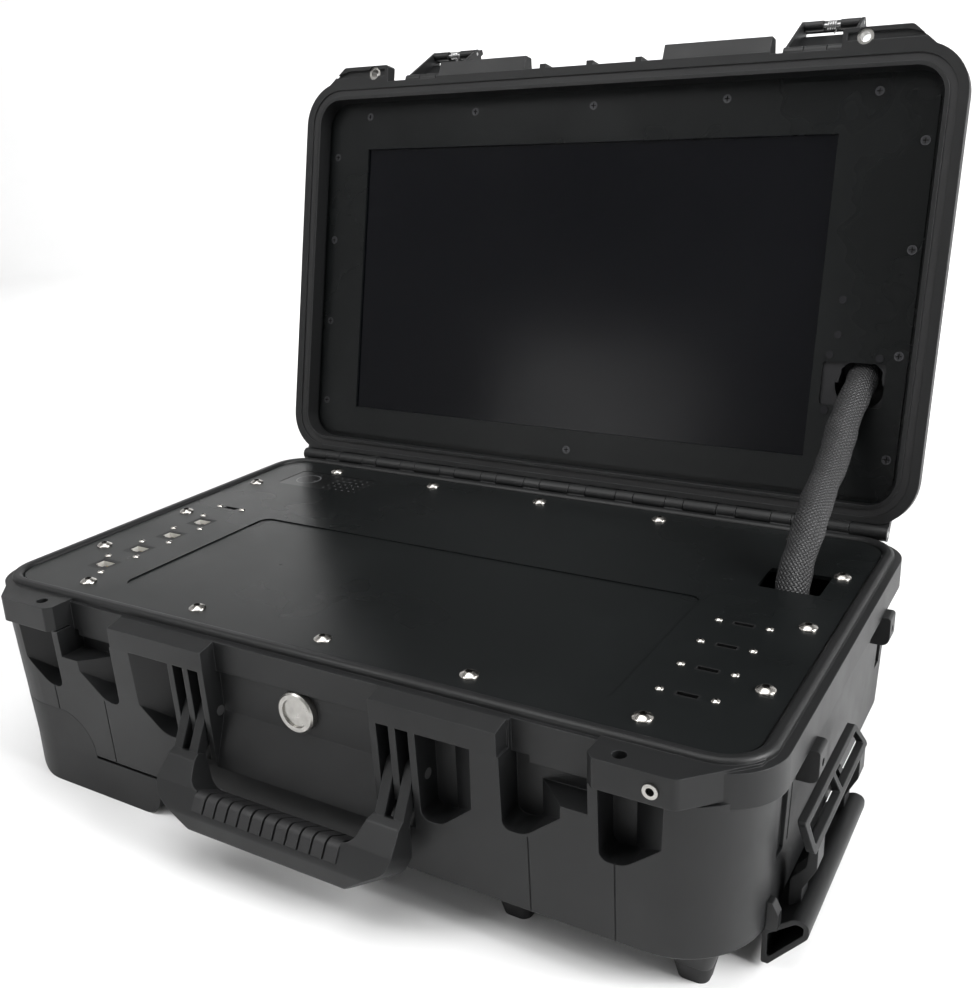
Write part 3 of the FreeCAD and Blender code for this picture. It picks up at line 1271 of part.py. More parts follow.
def make_lid_shell():
    rim = slab(lid_rim_x, lid_rim_y, lid_rim_r, lid_rim_z, lid_rim_z + LID_RIM_H)
    top_x, top_y = lid_wall_x - LID_DRAFT, lid_wall_y - LID_DRAFT
    wall_r = lid_rim_r - LID_WALL_STEP
    dome = taper((lid_wall_x, lid_wall_y, wall_r), (top_x, top_y, wall_r), lid_rim_z + LID_RIM_H, lid_top_z)
    dome = dome.makeFillet(LID_TOP_EDGE, [e for e in dome.Edges if e.BoundBox.ZMin > lid_top_z - EDGE_NEAR])
    rise = lid_rim_z + LID_DECK_H
    deck = [(-lid_wall_y + LID_DRAFT, lid_rim_z), (-lid_rim_y - LID_DECK_OUT, lid_rim_z + LID_RIM_H / 2),
            (-lid_rim_y - LID_DECK_OUT, rise - LID_DECK_EDGE), (-lid_rim_y, rise),
            (-lid_wall_y + LID_DRAFT, rise)]
    decks = both_sides([prism("x", deck, LID_DECK_X0, LID_DECK_X1)])
    ribs = []
    for x in (-LID_MID_RIB_X, 0, LID_MID_RIB_X):
        ribs.append(box(x - LID_MID_RIB_W / 2, x + LID_MID_RIB_W / 2, -lid_rim_y - LID_MID_RIB_OUT,
                        -lid_wall_y + LID_DRAFT, lid_rim_z, rise))
    ear = [(bay_x1, -lid_wall_y), (bay_x1, -lid_rim_y - LID_EAR_OUT), (EAR_X1, -lid_rim_y - LID_EAR_OUT),
           (EAR_CORNER_X, -LID_EAR_CORNER_Y), (EAR_CORNER_X, -LID_EAR_CORNER_Y + EAR_OUT)]
    ear_radii = [0, EAR_NOSE_R, LID_EAR_TURN_R, EAR_TURN_R, 0]
    ears = both_sides([prism("z", ear, lid_rim_z, lid_rim_z + LID_RIM_H, ear_radii)])
    shell = rim.fuse([dome] + decks + ribs + ears)
    bay_far = -lid_rim_y - LID_EAR_OUT - LID_BAY_CLEAR
    bay = box(bay_x0, bay_x1, bay_far, -lid_rim_y + LID_BAY_IN, lid_rim_z, lid_top_z)
    shell = shell.cut(both_sides([bay.common(box(LID_DECK_X1, bay_x1, -lid_rim_y * 2, 0, 0, lid_top_z))]))

    room = slab(lid_room_x, lid_room_y, lid_room_r, lid_rim_z, lid_top_z - LID_TOP_WALL - LID_TOP_RECESS_DEEP)
    recess = slab(top_x - LID_TOP_RECESS_IN, top_y - LID_TOP_RECESS_IN, POCKET_CORNER_R,
                  lid_top_z - LID_TOP_RECESS_DEEP, lid_top_z)
    inset = LID_EAR_BORDER
    ear_face = [(bay_x1 + inset, -lid_rim_y - inset), (bay_x1 + inset, -lid_rim_y - LID_EAR_OUT + inset),
                (EAR_X1 - inset, -lid_rim_y - LID_EAR_OUT + inset),
                (EAR_CORNER_X - LID_EAR_FACE_IN, -lid_rim_y - inset)]
    faces = both_sides([prism("z", ear_face, lid_rim_z, lid_rim_z + LID_EAR_PANEL_DEEP, LID_EAR_FACE_R)])
    hole_y = -lid_rim_y - LID_EAR_OUT / 2
    hole = rod_z(lid_rim_z, lid_rim_z + LID_RIM_H, EAR_HOLE_X, hole_y, LID_EYELET_R)
    gasket_room = gasket_ring(lid_rim_z, lid_rim_z + GASKET_ROOM)
    shell = shell.cut([room, recess, gasket_room, hinge_trough()] + faces + both_sides([hole]))

    knuckles = []
    web_y = lid_room_y + GASKET_IN + GASKET_W + LID_GAP
    web = [(hinge_y, hinge_z + KNUCKLE_R), (web_y, lid_rim_z + LID_RIM_H), (web_y, lid_rim_z + GASKET_ROOM),
           (hinge_y - KNUCKLE_R + HINGE_PIN_R, hinge_z)]
    for k in range(-LID_KNUCKLES_EACH_SIDE, LID_KNUCKLES_EACH_SIDE + 1):
        x0 = KNUCKLE_PITCH * k - LID_KNUCKLE_W / 2
        barrel = rod_x(x0, x0 + LID_KNUCKLE_W, hinge_y, hinge_z, KNUCKLE_R)
        knuckles.append(barrel.fuse(prism("x", web, x0, x0 + LID_KNUCKLE_W)))
    mounts = []
    for side in (-1, 1):
        x0 = side * LATCH_X - LATCH_MID_HALF
        wall_y = -lid_wall_y + LID_DRAFT
        arm_low, arm_high = pivot_z - LATCH_BARREL_R, pivot_z + LATCH_BARREL_R
        arm = [(pivot_y, arm_low), (pivot_y, arm_high), (wall_y, arm_high + LATCH_ARM_RISE),
               (wall_y, arm_low - LATCH_ARM_DROP)]
        barrel = rod_x(x0, x0 + 2 * LATCH_MID_HALF, pivot_y, pivot_z, LATCH_BARREL_R)
        mounts.append(barrel.fuse(prism("x", arm, x0, x0 + 2 * LATCH_MID_HALF)))
    shell = shell.fuse(knuckles + mounts)
    bores = [rod_x(-hinge_span(), hinge_span(), hinge_y, hinge_z, HINGE_PIN_R + RUN_GAP)]
    latch_x0, latch_x1 = LATCH_X - LATCH_MID_HALF, LATCH_X + LATCH_MID_HALF
    bores += both_sides([rod_x(latch_x0, latch_x1, pivot_y, pivot_z, LATCH_PIN_R)])
    return shell.cut(bores)


def gasket_ring(z0, z1):
    x, y, r = lid_room_x + GASKET_IN, lid_room_y + GASKET_IN, lid_room_r + GASKET_IN
    outer = slab(x + GASKET_W, y + GASKET_W, r + GASKET_W, z0, z1)
    return outer.cut(slab(x, y, r, z0, z1))


def make_lid_eyelet(side):
    """Metal ring through one ear of the lid, flanged on the closing face."""
    x, y = side * EAR_HOLE_X, -lid_rim_y - LID_EAR_OUT / 2
    z0 = lid_rim_z + LID_EAR_PANEL_DEEP
    ring = rod_z(z0, lid_rim_z + LID_RIM_H, x, y, LID_EYELET_R)
    return ring.cut(rod_z(z0, lid_rim_z + LID_RIM_H, x, y, LID_EYELET_HOLE_R))


def make_lid_seat():
    ring = slab(lid_room_x, lid_room_y, lid_room_r, lid_panel_back, lid_seat_back)
    inner_x, inner_y = lid_room_x - LID_SEAT_W, lid_room_y - LID_SEAT_W
    ring = ring.cut(slab(inner_x, inner_y, SEAT_INNER_R, lid_panel_back, lid_seat_back))
    holes = [rod_z(lid_panel_back, lid_seat_back, x, y, LID_SCREW_SHANK_R) for x, y in lid_screw_spots()]
    return ring.cut(holes)


def lid_screw(x, y):
    """Countersunk screw, flush with the lid panel's face."""
    head = Part.makeCone(LID_SCREW_R, LID_SCREW_SHANK_R, LID_SCREW_HEAD, V(x, y, lid_panel_z), V(0, 0, 1))
    return head.fuse(rod_z(lid_panel_z, lid_panel_z + LID_SCREW_DEEP, x, y, LID_SCREW_SHANK_R))


def make_lid_panel():
    sheet = slab(LID_PANEL_HALF_X, LID_PANEL_HALF_Y, LID_PANEL_R, lid_panel_z, lid_panel_back)
    cuts = [box(SCREEN_X0, SCREEN_X1, SCREEN_Y0, SCREEN_Y1, lid_panel_z, lid_panel_back)]
    cuts.append(plate(WINDOW_X0, WINDOW_X1, WINDOW_Y0, WINDOW_Y1, WINDOW_R, lid_panel_z, lid_panel_back))
    cuts += [lid_screw(x, y) for x, y in lid_screw_spots()]
    return sheet.cut(cuts)


def make_glass():
    return box(SCREEN_X0 - SCREEN_LAP, SCREEN_X1 + SCREEN_LAP, SCREEN_Y0 - SCREEN_LAP, SCREEN_Y1 + SCREEN_LAP,
               lid_panel_back, lid_panel_back + GLASS_THICK)


def make_screen():
    return box(SCREEN_X0 - SCREEN_LAP / 2, SCREEN_X1 + SCREEN_LAP / 2, SCREEN_Y0 - SCREEN_LAP / 2,
               SCREEN_Y1 + SCREEN_LAP / 2, lid_panel_back + GLASS_THICK, lid_seat_back)


def make_straps():
    half_y = lid_room_y - SCREEN_LAP
    return [box(x - STRAP_W / 2, x + STRAP_W / 2, -half_y, half_y, lid_seat_back, lid_seat_back + STRAP_THICK)
            for x in STRAP_XS]


def make_studs():
    return [rod_z(lid_panel_z - STUD_H, lid_panel_z, x, y, STUD_R) for x, y in STUD_SPOTS]


def shut(points):
    """Side profile given as (along, out) from the latch's upper pin, in the shut pose."""
    return [(pivot_y - out, pivot_z - along) for along, out in points]


def make_link(x):
    """Latch frame: two cheeks and a cover plate, with barrels on the upper pin."""
    x0, x1 = x - LATCH_HALF_W, x + LATCH_HALF_W
    tail = LATCH_LONG + LATCH_TAIL
    side = shut([(-LATCH_HEAD, -LATCH_CHEEK_T0), (-LATCH_HEAD, LATCH_NOSE_T), (LATCH_SHOULDER, LATCH_WEB_T1),
                 (tail, LATCH_WEB_T1), (LATCH_LONG + LATCH_TIP, LATCH_NOSE_T), (tail, -LATCH_CHEEK_T0)])
    edges = [LATCH_EDGE_R, LATCH_EDGE_R, LATCH_SHOULDER_R, LATCH_EDGE_R, LATCH_EDGE_R, LATCH_EDGE_R]
    whole = prism("x", side, x0, x1, edges)
    room_end = LATCH_LONG + LATCH_ROOM_END
    room_back = -LATCH_CHEEK_T0 - LATCH_HEAD
    hollow = shut([(-2 * LATCH_HEAD, room_back), (-2 * LATCH_HEAD, LATCH_WEB_T0), (room_end, LATCH_WEB_T0),
                   (room_end, room_back)])
    inner0, inner1 = x0 + LATCH_CHEEK_W, x1 - LATCH_CHEEK_W
    link = whole.cut(prism("x", hollow, inner0, inner1))
    lever_start = LATCH_LONG - LATCH_TIP
    web_in, web_out = LATCH_WEB_T0 - LATCH_WEB_LAP, LATCH_WEB_T1 + LATCH_WEB_LAP
    lever_room = shut([(lever_start, web_in), (lever_start, web_out), (room_end, web_out),
                       (room_end, web_in)])
    link = link.cut(prism("x", lever_room, inner0, inner1))
    near = LATCH_MID_HALF + LATCH_SIDE_GAP
    arm = shut([(0, LATCH_BARREL_R), (0, 0), (LATCH_ARM_LONG, LATCH_WEB_T0),
                (LATCH_ARM_LONG, LATCH_WEB_T0 + LATCH_WEB_LAP)])
    barrels = []
    for a, b in ((x - LATCH_HALF_W, x - near), (x + near, x + LATCH_HALF_W)):
        barrel = rod_x(a, b, pivot_y, pivot_z, LATCH_BARREL_R)
        barrels.append(barrel.fuse(prism("x", arm, a, b)))
    link = link.fuse(barrels)
    notch = shut([(-LATCH_NOTCH, -LATCH_NOTCH), (LATCH_NOTCH, -LATCH_NOTCH), (LATCH_NOTCH, LATCH_NOTCH),
                  (-LATCH_NOTCH, LATCH_NOTCH)])
    link = link.cut(prism("x", notch, x - near, x + near))
    pin_z = pivot_z - LATCH_LONG
    upper_bore = rod_x(x0, x1, pivot_y, pivot_z, LATCH_PIN_R + RUN_GAP)
    return link.cut([upper_bore, rod_x(x0, x1, pivot_y, pin_z, LEVER_PIN_R)])


def make_lever(x):
    """Trigger of the latch: barrels on the lower pin, a pull plate and the hook under the catch."""
    half = LATCH_HALF_W - LATCH_CHEEK_W - LEVER_SIDE_GAP
    pin_z = pivot_z - LATCH_LONG
    hook_top = pivot_z - catch_low + HOOK_GAP
    hook_low = hook_top + HOOK_THICK
    pull = shut([(LATCH_LONG, 0), (LATCH_LONG, LEVER_T1), (LATCH_LONG + LEVER_REACH, LEVER_T1),
                 (LATCH_LONG + LEVER_REACH, LEVER_T0)])
    tip = -(pivot_y - recess_y) - HOOK_BITE
    root = LEVER_T1 - LEVER_LAP
    hook = shut([(hook_top, tip), (hook_top, root), (hook_low, root), (hook_low, tip)])
    lever = prism("x", pull, x - half, x + half, [0, LEVER_EDGE_R, LEVER_EDGE_R, 0])
    hook_edges = [HOOK_EDGE_R, 0, 0, HOOK_EDGE_R]
    lever = lever.fuse(prism("x", hook, x - HOOK_HALF_W, x + HOOK_HALF_W, hook_edges))
    barrels = [rod_x(x - half, x - LEVER_MID_HALF, pivot_y, pin_z, LEVER_BARREL_R),
               rod_x(x + LEVER_MID_HALF, x + half, pivot_y, pin_z, LEVER_BARREL_R)]
    spring_r = SPRING_COIL_R + SPRING_WIRE_R + SPRING_CLEAR
    spring_room = rod_x(x - LEVER_MID_HALF, x + LEVER_MID_HALF, pivot_y, pin_z, spring_r)
    lever = lever.fuse(barrels).cut(spring_room)
    return lever.cut(rod_x(x - half, x + half, pivot_y, pin_z, LEVER_PIN_R + RUN_GAP))


def make_latch_pin(x, z, radius):
    return rod_x(x - LATCH_HALF_W, x + LATCH_HALF_W, pivot_y, z, radius)


def make_spring(x):
    """Torsion spring on the lower pin: half-turn arcs along X, with a straight leg at each end."""
    pin_z = pivot_z - LATCH_LONG
    start_x = x - SPRING_PITCH * SPRING_TURNS / 2
    spots = []
    for k in range(4 * SPRING_TURNS + 1):
        turn = math.pi / 2 * k
        spots.append(V(start_x + SPRING_PITCH * k / 4, pivot_y - SPRING_COIL_R * math.cos(turn),
                       pin_z + SPRING_COIL_R * math.sin(turn)))
    edges = [Part.Arc(spots[k], spots[k + 1], spots[k + 2]).toShape() for k in range(0, 4 * SPRING_TURNS, 2)]
    tail = V(spots[-1].x, spots[-1].y, spots[-1].z + SPRING_LEG)
    edges.append(Part.LineSegment(spots[-1], tail).toShape())
    ring = Part.Wire(Part.makeCircle(SPRING_WIRE_R, spots[0], V(0, 0, 1)))
    spring = Part.Wire(edges).makePipeShell([ring], True, False)
    print("spring gap between turns", round(SPRING_PITCH - 2 * SPRING_WIRE_R, 2))
    return spring


save("base_shell", make_base_shell())
save("base_eyelet", make_eyelet())
save("end_lugs", end_lug(-LUG_Y), end_lug(LUG_Y))
save("base_panel_seat", make_panel_seat())
save("base_panel", make_panel())
screw_sizes = (SCREW_HEAD_R, SCREW_HEAD_H, SCREW_SHANK_R, SCREW_DEEP)
save("base_panel_screws", *[dome_screw(x, y, PANEL_TOP_Z, *screw_sizes) for x, y in screw_spots()])
save("keypad_overlay", make_keypad())
save("network_jacks", *[make_jack(x, y) for x, y in jack_spots()])
save("slot_ports", *[make_port(x, y) for x, y in port_spots()])
save("side_port", make_port(SIDE_PORT_X, SIDE_PORT_Y))
small_sizes = (SMALL_SCREW_R, SMALL_SCREW_H, SMALL_SHANK_R, SMALL_SCREW_DEEP)
save("socket_screws", *[dome_screw(x, y, PANEL_TOP_Z, *small_sizes) for x, y in small_screw_spots()])
save("base_cable_clamp", make_base_clamp())
save("monitor_cable", make_cable())
save("handle_pins", *both_sides([rod_x(deck_x0, pocket_x0, handle_y, handle_z, PIN_R)]))
save("front_disc", make_disc())
save("hinge_pin", rod_x(-hinge_span(), hinge_span(), hinge_y, hinge_z, HINGE_PIN_R))

front_boot = make_boot()
save("wheel_boot_front", front_boot)
save("wheel_boot_back", flip_y(front_boot))
save("wheel_axles", axle(), flip_y(axle()))
hub, tyre = make_wheel()
save("wheel_front_hub", hub)
save("wheel_front_tyre", tyre)
save("wheel_back_hub", flip_y(hub))
save("wheel_back_tyre", flip_y(tyre))
save("foot_pedestals", *pedestals())
save("rubber_feet", *make_feet())

save("pull_guides", *make_guides())
save("pull_clips", *make_clips())
save("pull_rails", *make_rails())
save("pull_grip", make_pull_grip())
save("pull_frame", make_pull_frame())

bow, pad = make_handle()
save("front_handle", handle_hung(bow))
save("handle_grip", handle_hung(pad))

save("lid_shell", lid_opened(make_lid_shell()))
save("lid_gasket", lid_opened(gasket_ring(lid_rim_z + GASKET_ROOM - GASKET_THICK, lid_rim_z + GASKET_ROOM)))
save("lid_eyelets", *[lid_opened(make_lid_eyelet(side)) for side in (-1, 1)])
save("lid_panel_seat", lid_opened(make_lid_seat()))
save("lid_panel", lid_opened(make_lid_panel()))
save("lid_panel_screws", *[lid_opened(lid_screw(x, y)) for x, y in lid_screw_spots()])
save("screen_glass", lid_opened(make_glass()))
save("screen_module", lid_opened(make_screen()))
save("screen_straps", *[lid_opened(s) for s in make_straps()])
save("lid_cable_bracket", make_lid_clamp())
save("press_studs", *[lid_opened(s) for s in make_studs()])

for side, name in ((-1, "left"), (1, "right")):
    x = side * LATCH_X
    save("latch_pivot_pin_" + name, lid_opened(make_latch_pin(x, pivot_z, LATCH_PIN_R)))
    save("latch_link_" + name, latch_opened(make_link(x)))
    save("latch_lever_" + name, latch_opened(make_lever(x)))
    save("latch_lever_pin_" + name, latch_opened(make_latch_pin(x, pivot_z - LATCH_LONG, LEVER_PIN_R)))
    save("latch_spring_" + name, latch_opened(make_spring(x)))
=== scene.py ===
"""Dresses a wheeled hard case: its moulded, coated, plated and rubber finishes, the braided cable
between base and lid, the drives of its screws, the contacts of its sockets and the studio."""
import math

import bpy
import numpy as np
from bpy.props import FloatProperty, FloatVectorProperty, IntProperty, PointerProperty
from bpy.types import Operator, Panel, PropertyGroup
from mathutils import Matrix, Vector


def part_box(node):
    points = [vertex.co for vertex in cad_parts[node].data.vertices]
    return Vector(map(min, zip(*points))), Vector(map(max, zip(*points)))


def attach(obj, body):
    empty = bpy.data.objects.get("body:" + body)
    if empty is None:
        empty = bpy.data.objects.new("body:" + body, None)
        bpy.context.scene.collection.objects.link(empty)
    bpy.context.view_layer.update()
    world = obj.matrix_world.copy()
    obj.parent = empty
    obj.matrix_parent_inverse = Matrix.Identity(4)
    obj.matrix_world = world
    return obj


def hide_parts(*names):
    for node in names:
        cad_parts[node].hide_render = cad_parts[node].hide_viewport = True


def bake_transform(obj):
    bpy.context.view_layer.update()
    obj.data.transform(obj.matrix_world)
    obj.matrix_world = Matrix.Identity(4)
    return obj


bl_info = {
    "name": "Hard case dresser",
    "version": (1, 0, 0),
    "blender": (4, 5, 0),
    "location": "3D View > Sidebar > Hard case",
    "description": "Finishes, cable, screw drives and studio of a wheeled hard case",
    "category": "Object",
}

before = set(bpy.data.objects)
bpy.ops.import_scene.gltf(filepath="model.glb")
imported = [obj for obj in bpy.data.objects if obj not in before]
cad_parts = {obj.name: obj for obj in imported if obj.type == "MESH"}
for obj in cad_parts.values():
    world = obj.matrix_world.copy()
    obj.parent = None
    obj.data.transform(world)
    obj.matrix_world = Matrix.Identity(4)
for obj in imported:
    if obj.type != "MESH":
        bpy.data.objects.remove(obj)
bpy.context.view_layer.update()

# Base panel's face, and the size, drive and spacing of the screw heads on it
PANEL_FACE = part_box("base_panel")[1].z
HEAD_R = 0.0052
HEAD_RISE = 0.0028
HEAD_PITCH_X = 0.0946
HEAD_PITCH_Y = 0.0781
HEX_ACROSS = 0.0038
HEX_DEEP = 0.0016
SMALL_HEAD_R = 0.0023
SMALL_HEAD_RISE = 0.0014
SMALL_HEX_ACROSS = 0.0016
SMALL_HEX_DEEP = 0.0008

# Every screw head: its sides, the share of its rise that is skirt, where the rings of its crown lie
# between rim and drive, and how far the rings of its drive reach and drop
HEAD_SIDES = 48
HEAD_SKIRT = 0.25
CROWN_SHARES = (0.0, 0.0, 0.12, 0.3, 0.5, 0.7, 0.88, 1.0)
DRIVE_REACH = (1.0, 0.96, 0.85, 0.02)
DRIVE_DROP = (0.0, 0.92, 1.0, 1.0)

# Network sockets, and the screws beside them and beside the slots
JACK_X = -0.2045
JACK_YS = tuple(-0.1024 + 0.0299 * k for k in range(4))
JACK_HALF_X = 0.0060
JACK_HALF_Y = 0.0045
JACK_NOTCH_X = 0.0030
JACK_NOTCH_Y = 0.0015
JACK_MOUTH_DEEP = 0.0110
JACK_SCREW = (0.0095, 0.0115)
SLOT_X = 0.1999
SLOT_YS = tuple(-0.0990 + 0.0294 * k for k in range(4))
SLOT_SCREW = 0.0143
SIDE_SLOT = (-0.2069, 0.0207)
SIDE_SLOT_SCREW = 0.0110

# Lining and contacts in the mouth of a network socket
LINING_SKIN = 0.00015
LINING_LOW = 0.0004
LINING_BREAK = 0.3
CONTACT_COUNT = 8
CONTACT_PITCH = 0.00102
CONTACT_HALF = 0.0002
CONTACT_STEPS = 7
CONTACT_BACK = 0.0004
CONTACT_LEAN = 0.0042
CONTACT_CURVE = 1.6
CONTACT_TOP = 0.0035
CONTACT_DROP = 0.0055

# Lid, in the place that it has when shut, and the hinge that it opens about
LID_HINGE = (0.1560, 0.1330)
LID_TURN = math.radians(-101.9)
LID_FACE = 0.1453
LID_HEAD_R = 0.0030
LID_HEAD_X = 0.2340
LID_HEAD_Y = 0.1273
LID_HEAD_PITCH_X = 0.1012
LID_HEAD_PITCH_Y = 0.0681
LID_HEAD_FIRST_Y = 0.1087
CROSS_REACH = 0.0018
CROSS_WIDTH = 0.0007
CROSS_DEEP = 0.0008

# Print on the keypad film
PRINT_RING = (-0.1990, 0.1035)
PRINT_RING_R = 0.0098
PRINT_LINE = 0.0004
PRINT_DOT_R = 0.0008
PRINT_PITCH = 0.0062

# Colours of the smaller parts
INK_TONE = (0.16, 0.16, 0.165)
BRACKET_TONE = (0.016, 0.016, 0.017)
INNER_FRAME_TONE = (0.30, 0.30, 0.31, 1.0)
GLASS_TONES = ((0.0012, 0.0014, 0.0024, 1.0), (0.0018, 0.0020, 0.0030, 1.0))
DISC_TONE = (0.40, 0.39, 0.37, 1.0)
STEEL_TONE = (0.50, 0.50, 0.50, 1.0)
STUD_TONE = (0.028, 0.028, 0.030, 1.0)
RAIL_TONE = (0.55, 0.55, 0.56, 1.0)
# Near-black painted shade for the recesses of the screw drives
PAINTED_DRIVE_SHADE = (0.016, 0.015, 0.014, 1.0)
LID_SCREW_TONE = (0.055, 0.055, 0.058, 1.0)
SHIELD_TONE = (0.86, 0.85, 0.82, 1.0)
CONTACT_TONE = (0.50, 0.38, 0.18, 1.0)
STRAND_TONE = (0.015, 0.015, 0.016, 1.0)
# Near-black painted shade for the gaps between the braid's strands
PAINTED_GAP_SHADE = (0.0008, 0.0008, 0.0008, 1.0)

# Route of the cable, from under the base panel to behind the lid panel, in metres
CABLE_ROUTE = (
    (0.2080, 0.0500, 0.1040),
    (0.2080, 0.0570, 0.1280),
    (0.2080, 0.0780, 0.1520),
    (0.2083, 0.1040, 0.1665),
    (0.2088, 0.1300, 0.1820),
    (0.2098, 0.1560, 0.2030),
    (0.2110, 0.1800, 0.2210),
    (0.2115, 0.2050, 0.2280),
)
CABLE_SIDES = 64

# Floor, flat to a distance, then the backdrop's bend and the top of its wall, in metres
FLOOR_RINGS = (0.0, 0.6, 1.4, 2.4)
FLOOR_FLAT = 3.2
FLOOR_SIDES = 96
BACKDROP_BEND = 1.3
BACKDROP_TOP = 4.5
BEND_STEPS = 16

# Lamps: name, place, the point that it faces, width, and the setting that holds its power
LAMPS = (
    ("top_lamp", (0.0, -0.35, 2.5), (0.0, 0.0, 0.0), 2.2, "top_power"),
    ("key_lamp", (-1.3, -1.5, 2.3), (0.0, 0.0, 0.15), 1.0, "key_power"),
    ("low_lamp", (-0.85, -1.75, 0.40), (0.0, 0.2, 0.25), 0.5, "low_power"),
    ("backdrop_lamp", (-0.6, 1.7, 1.9), (-0.9, 4.0, 0.4), 1.6, "back_power"),
    ("side_lamp", (1.9, 0.1, 1.1), (0.1, 0.0, 0.15), 1.1, "side_power"),
)

# Camera of the main view: its place, the way it looks and its right side
CAMERA_PLACE = (0.3599, -0.5463, 0.3897)
CAMERA_LOOK = (-0.48891, 0.81079, -0.32185)
CAMERA_RIGHT = (0.86216, 0.50531, -0.03668)
CAMERA_SHIFT = (0.0016, 0.0103)
SENSOR_WIDTH = 36.0
CLIP_START = 0.02


class CaseFinish(PropertyGroup):
    """Colours and textures of the case's own materials."""

    shell_tone: FloatVectorProperty(
        name="Shell", description="Colour of the moulded shells", subtype="COLOR",
        size=4, min=0, max=1, default=(0.0066, 0.0069, 0.0072, 1.0),
    )
    # Lighter colour along the shells' edges: wear, and a painted highlight
    edge_wear_and_highlight_tone: FloatVectorProperty(
        name="Edge wear and painted highlight", description="Colour of the shells along edges, lighter as wear and as a painted highlight", subtype="COLOR",
        size=4, min=0, max=1, default=(0.030, 0.031, 0.033, 1.0),
    )
    panel_tone: FloatVectorProperty(
        name="Panel coat", description="Colour of the coated panels", subtype="COLOR",
        size=4, min=0, max=1, default=(0.0040, 0.0046, 0.0047, 1.0),
    )
    nickel_tone: FloatVectorProperty(
        name="Nickel", description="Colour of the plated screws", subtype="COLOR",
        size=4, min=0, max=1, default=(0.50, 0.48, 0.45, 1.0),
    )
    rubber_tone: FloatVectorProperty(
        name="Rubber", description="Colour of gasket, grip and feet", subtype="COLOR",
        size=4, min=0, max=1, default=(0.0056, 0.0056, 0.0060, 1.0),
    )
    edge_round: FloatProperty(
        name="Edge rounding", description="Radius that moulded edges catch the light with",
        unit="LENGTH", min=0, max=0.005, default=0.0007,
    )


class CableSleeve(PropertyGroup):
    """The braided sleeve over the cable."""

    radius: FloatProperty(
        name="Radius", description="Outer radius of the sleeve", unit="LENGTH",
        min=0.002, max=0.03, default=0.011,
    )
    strands: IntProperty(
        name="Strands", description="Strands that run one way round the sleeve",
        min=8, max=96, default=24,
    )
    lay_length: FloatProperty(
        name="Lay length", description="Length in which a strand goes once round", unit="LENGTH",
        min=0.01, max=0.2, default=0.062,
    )
    swelling: FloatProperty(
        name="Swelling", description="How far the bundle inside bulges the sleeve", unit="LENGTH",
        min=0, max=0.002, default=0.00095,
    )


class CaseStudio(PropertyGroup):
    """Floor, lamps and camera."""

    floor_tone: FloatVectorProperty(
        name="Floor", description="Colour of floor and backdrop", subtype="COLOR",
        size=4, min=0, max=1, default=(0.80, 0.80, 0.80, 1.0),
    )
    sky: FloatProperty(
        name="Room light", description="Strength of the even light of the room",
        min=0, max=2, default=0.12,
    )
    top_power: FloatProperty(
        name="Top lamp", description="Power of the large lamp overhead",
        min=0, max=500, default=55,
    )
    key_power: FloatProperty(
        name="Key lamp", description="Power of the large lamp at the front left",
        min=0, max=500, default=30,
    )
    side_power: FloatProperty(
        name="Side lamp", description="Power of the lamp beside the right end",
        min=0, max=500, default=75,
    )
    low_power: FloatProperty(
        name="Low lamp", description="Power of the small lamp that glows in the lower screen",
        min=0, max=500, default=2.2,
    )
    back_power: FloatProperty(
        name="Backdrop lamp", description="Power of the lamp that lights the backdrop",
        min=0, max=500, default=90,
    )
    lens: FloatProperty(
        name="Lens", description="Focal length of the camera in millimetres",
        min=10, max=200, default=39.484,
    )


PROPERTY_NAMES = {"case_finish": CaseFinish, "cable_sleeve": CableSleeve, "case_studio": CaseStudio}


def grid_faces(rows, columns, close_rows=False, close_columns=False):
    """Corner numbers of a grid's cells: (i, j), (i, j+1), (i+1, j+1), (i+1, j), where a closed
    direction joins its last line to its first."""
    i = np.arange(rows if close_rows else rows - 1)
    j = np.arange(columns if close_columns else columns - 1)
    i, j = (a.ravel() for a in np.meshgrid(i, j, indexing="ij"))
    after_i = (i + 1) % rows
    after_j = (j + 1) % columns
    corners = (i * columns + j, i * columns + after_j, after_i * columns + after_j, after_i * columns + j)
    return np.stack(corners, axis=1)


def mesh_piece(name, points, faces, smooth=True):
    """A mesh object at the origin from an array of points and a list of faces."""
    mesh = bpy.data.meshes.new(name)
    mesh.from_pydata(points.reshape(-1, 3).tolist(), [], [list(map(int, f)) for f in faces])
    mesh.polygons.foreach_set("use_smooth", np.full(len(mesh.polygons), smooth))
    mesh.update()
    piece = bpy.data.objects.new(name, mesh)
    bpy.context.scene.collection.objects.link(piece)
    return piece


def add_node(tree, kind, inputs=None, **settings):
    """A node of a tree with its settings and constant inputs."""
    node = tree.nodes.new(kind)
    for key, value in settings.items():
        setattr(node, key, value)
    for key, value in (inputs or {}).items():
        node.inputs[key].default_value = value
    return node


def math_node(tree, operation, first, second=None, third=None, clamp=False):
    """One sum of up to three numbers or sockets; gives the socket of its result."""
    node = add_node(tree, "ShaderNodeMath", operation=operation, use_clamp=clamp)
    for place, value in enumerate((first, second, third)):
        if value is None:
            continue
        if isinstance(value, (int, float)):
            node.inputs[place].default_value = value
        else:
            tree.links.new(value, node.inputs[place])
    return node.outputs[0]


def spread(tree, value, low, high, to_low, to_high):
    """Maps a socket's values from one range to another, held at both ends."""
    node = add_node(tree, "ShaderNodeMapRange", {1: low, 2: high, 3: to_low, 4: to_high})
    tree.links.new(value, node.inputs[0])
    return node.outputs[0]


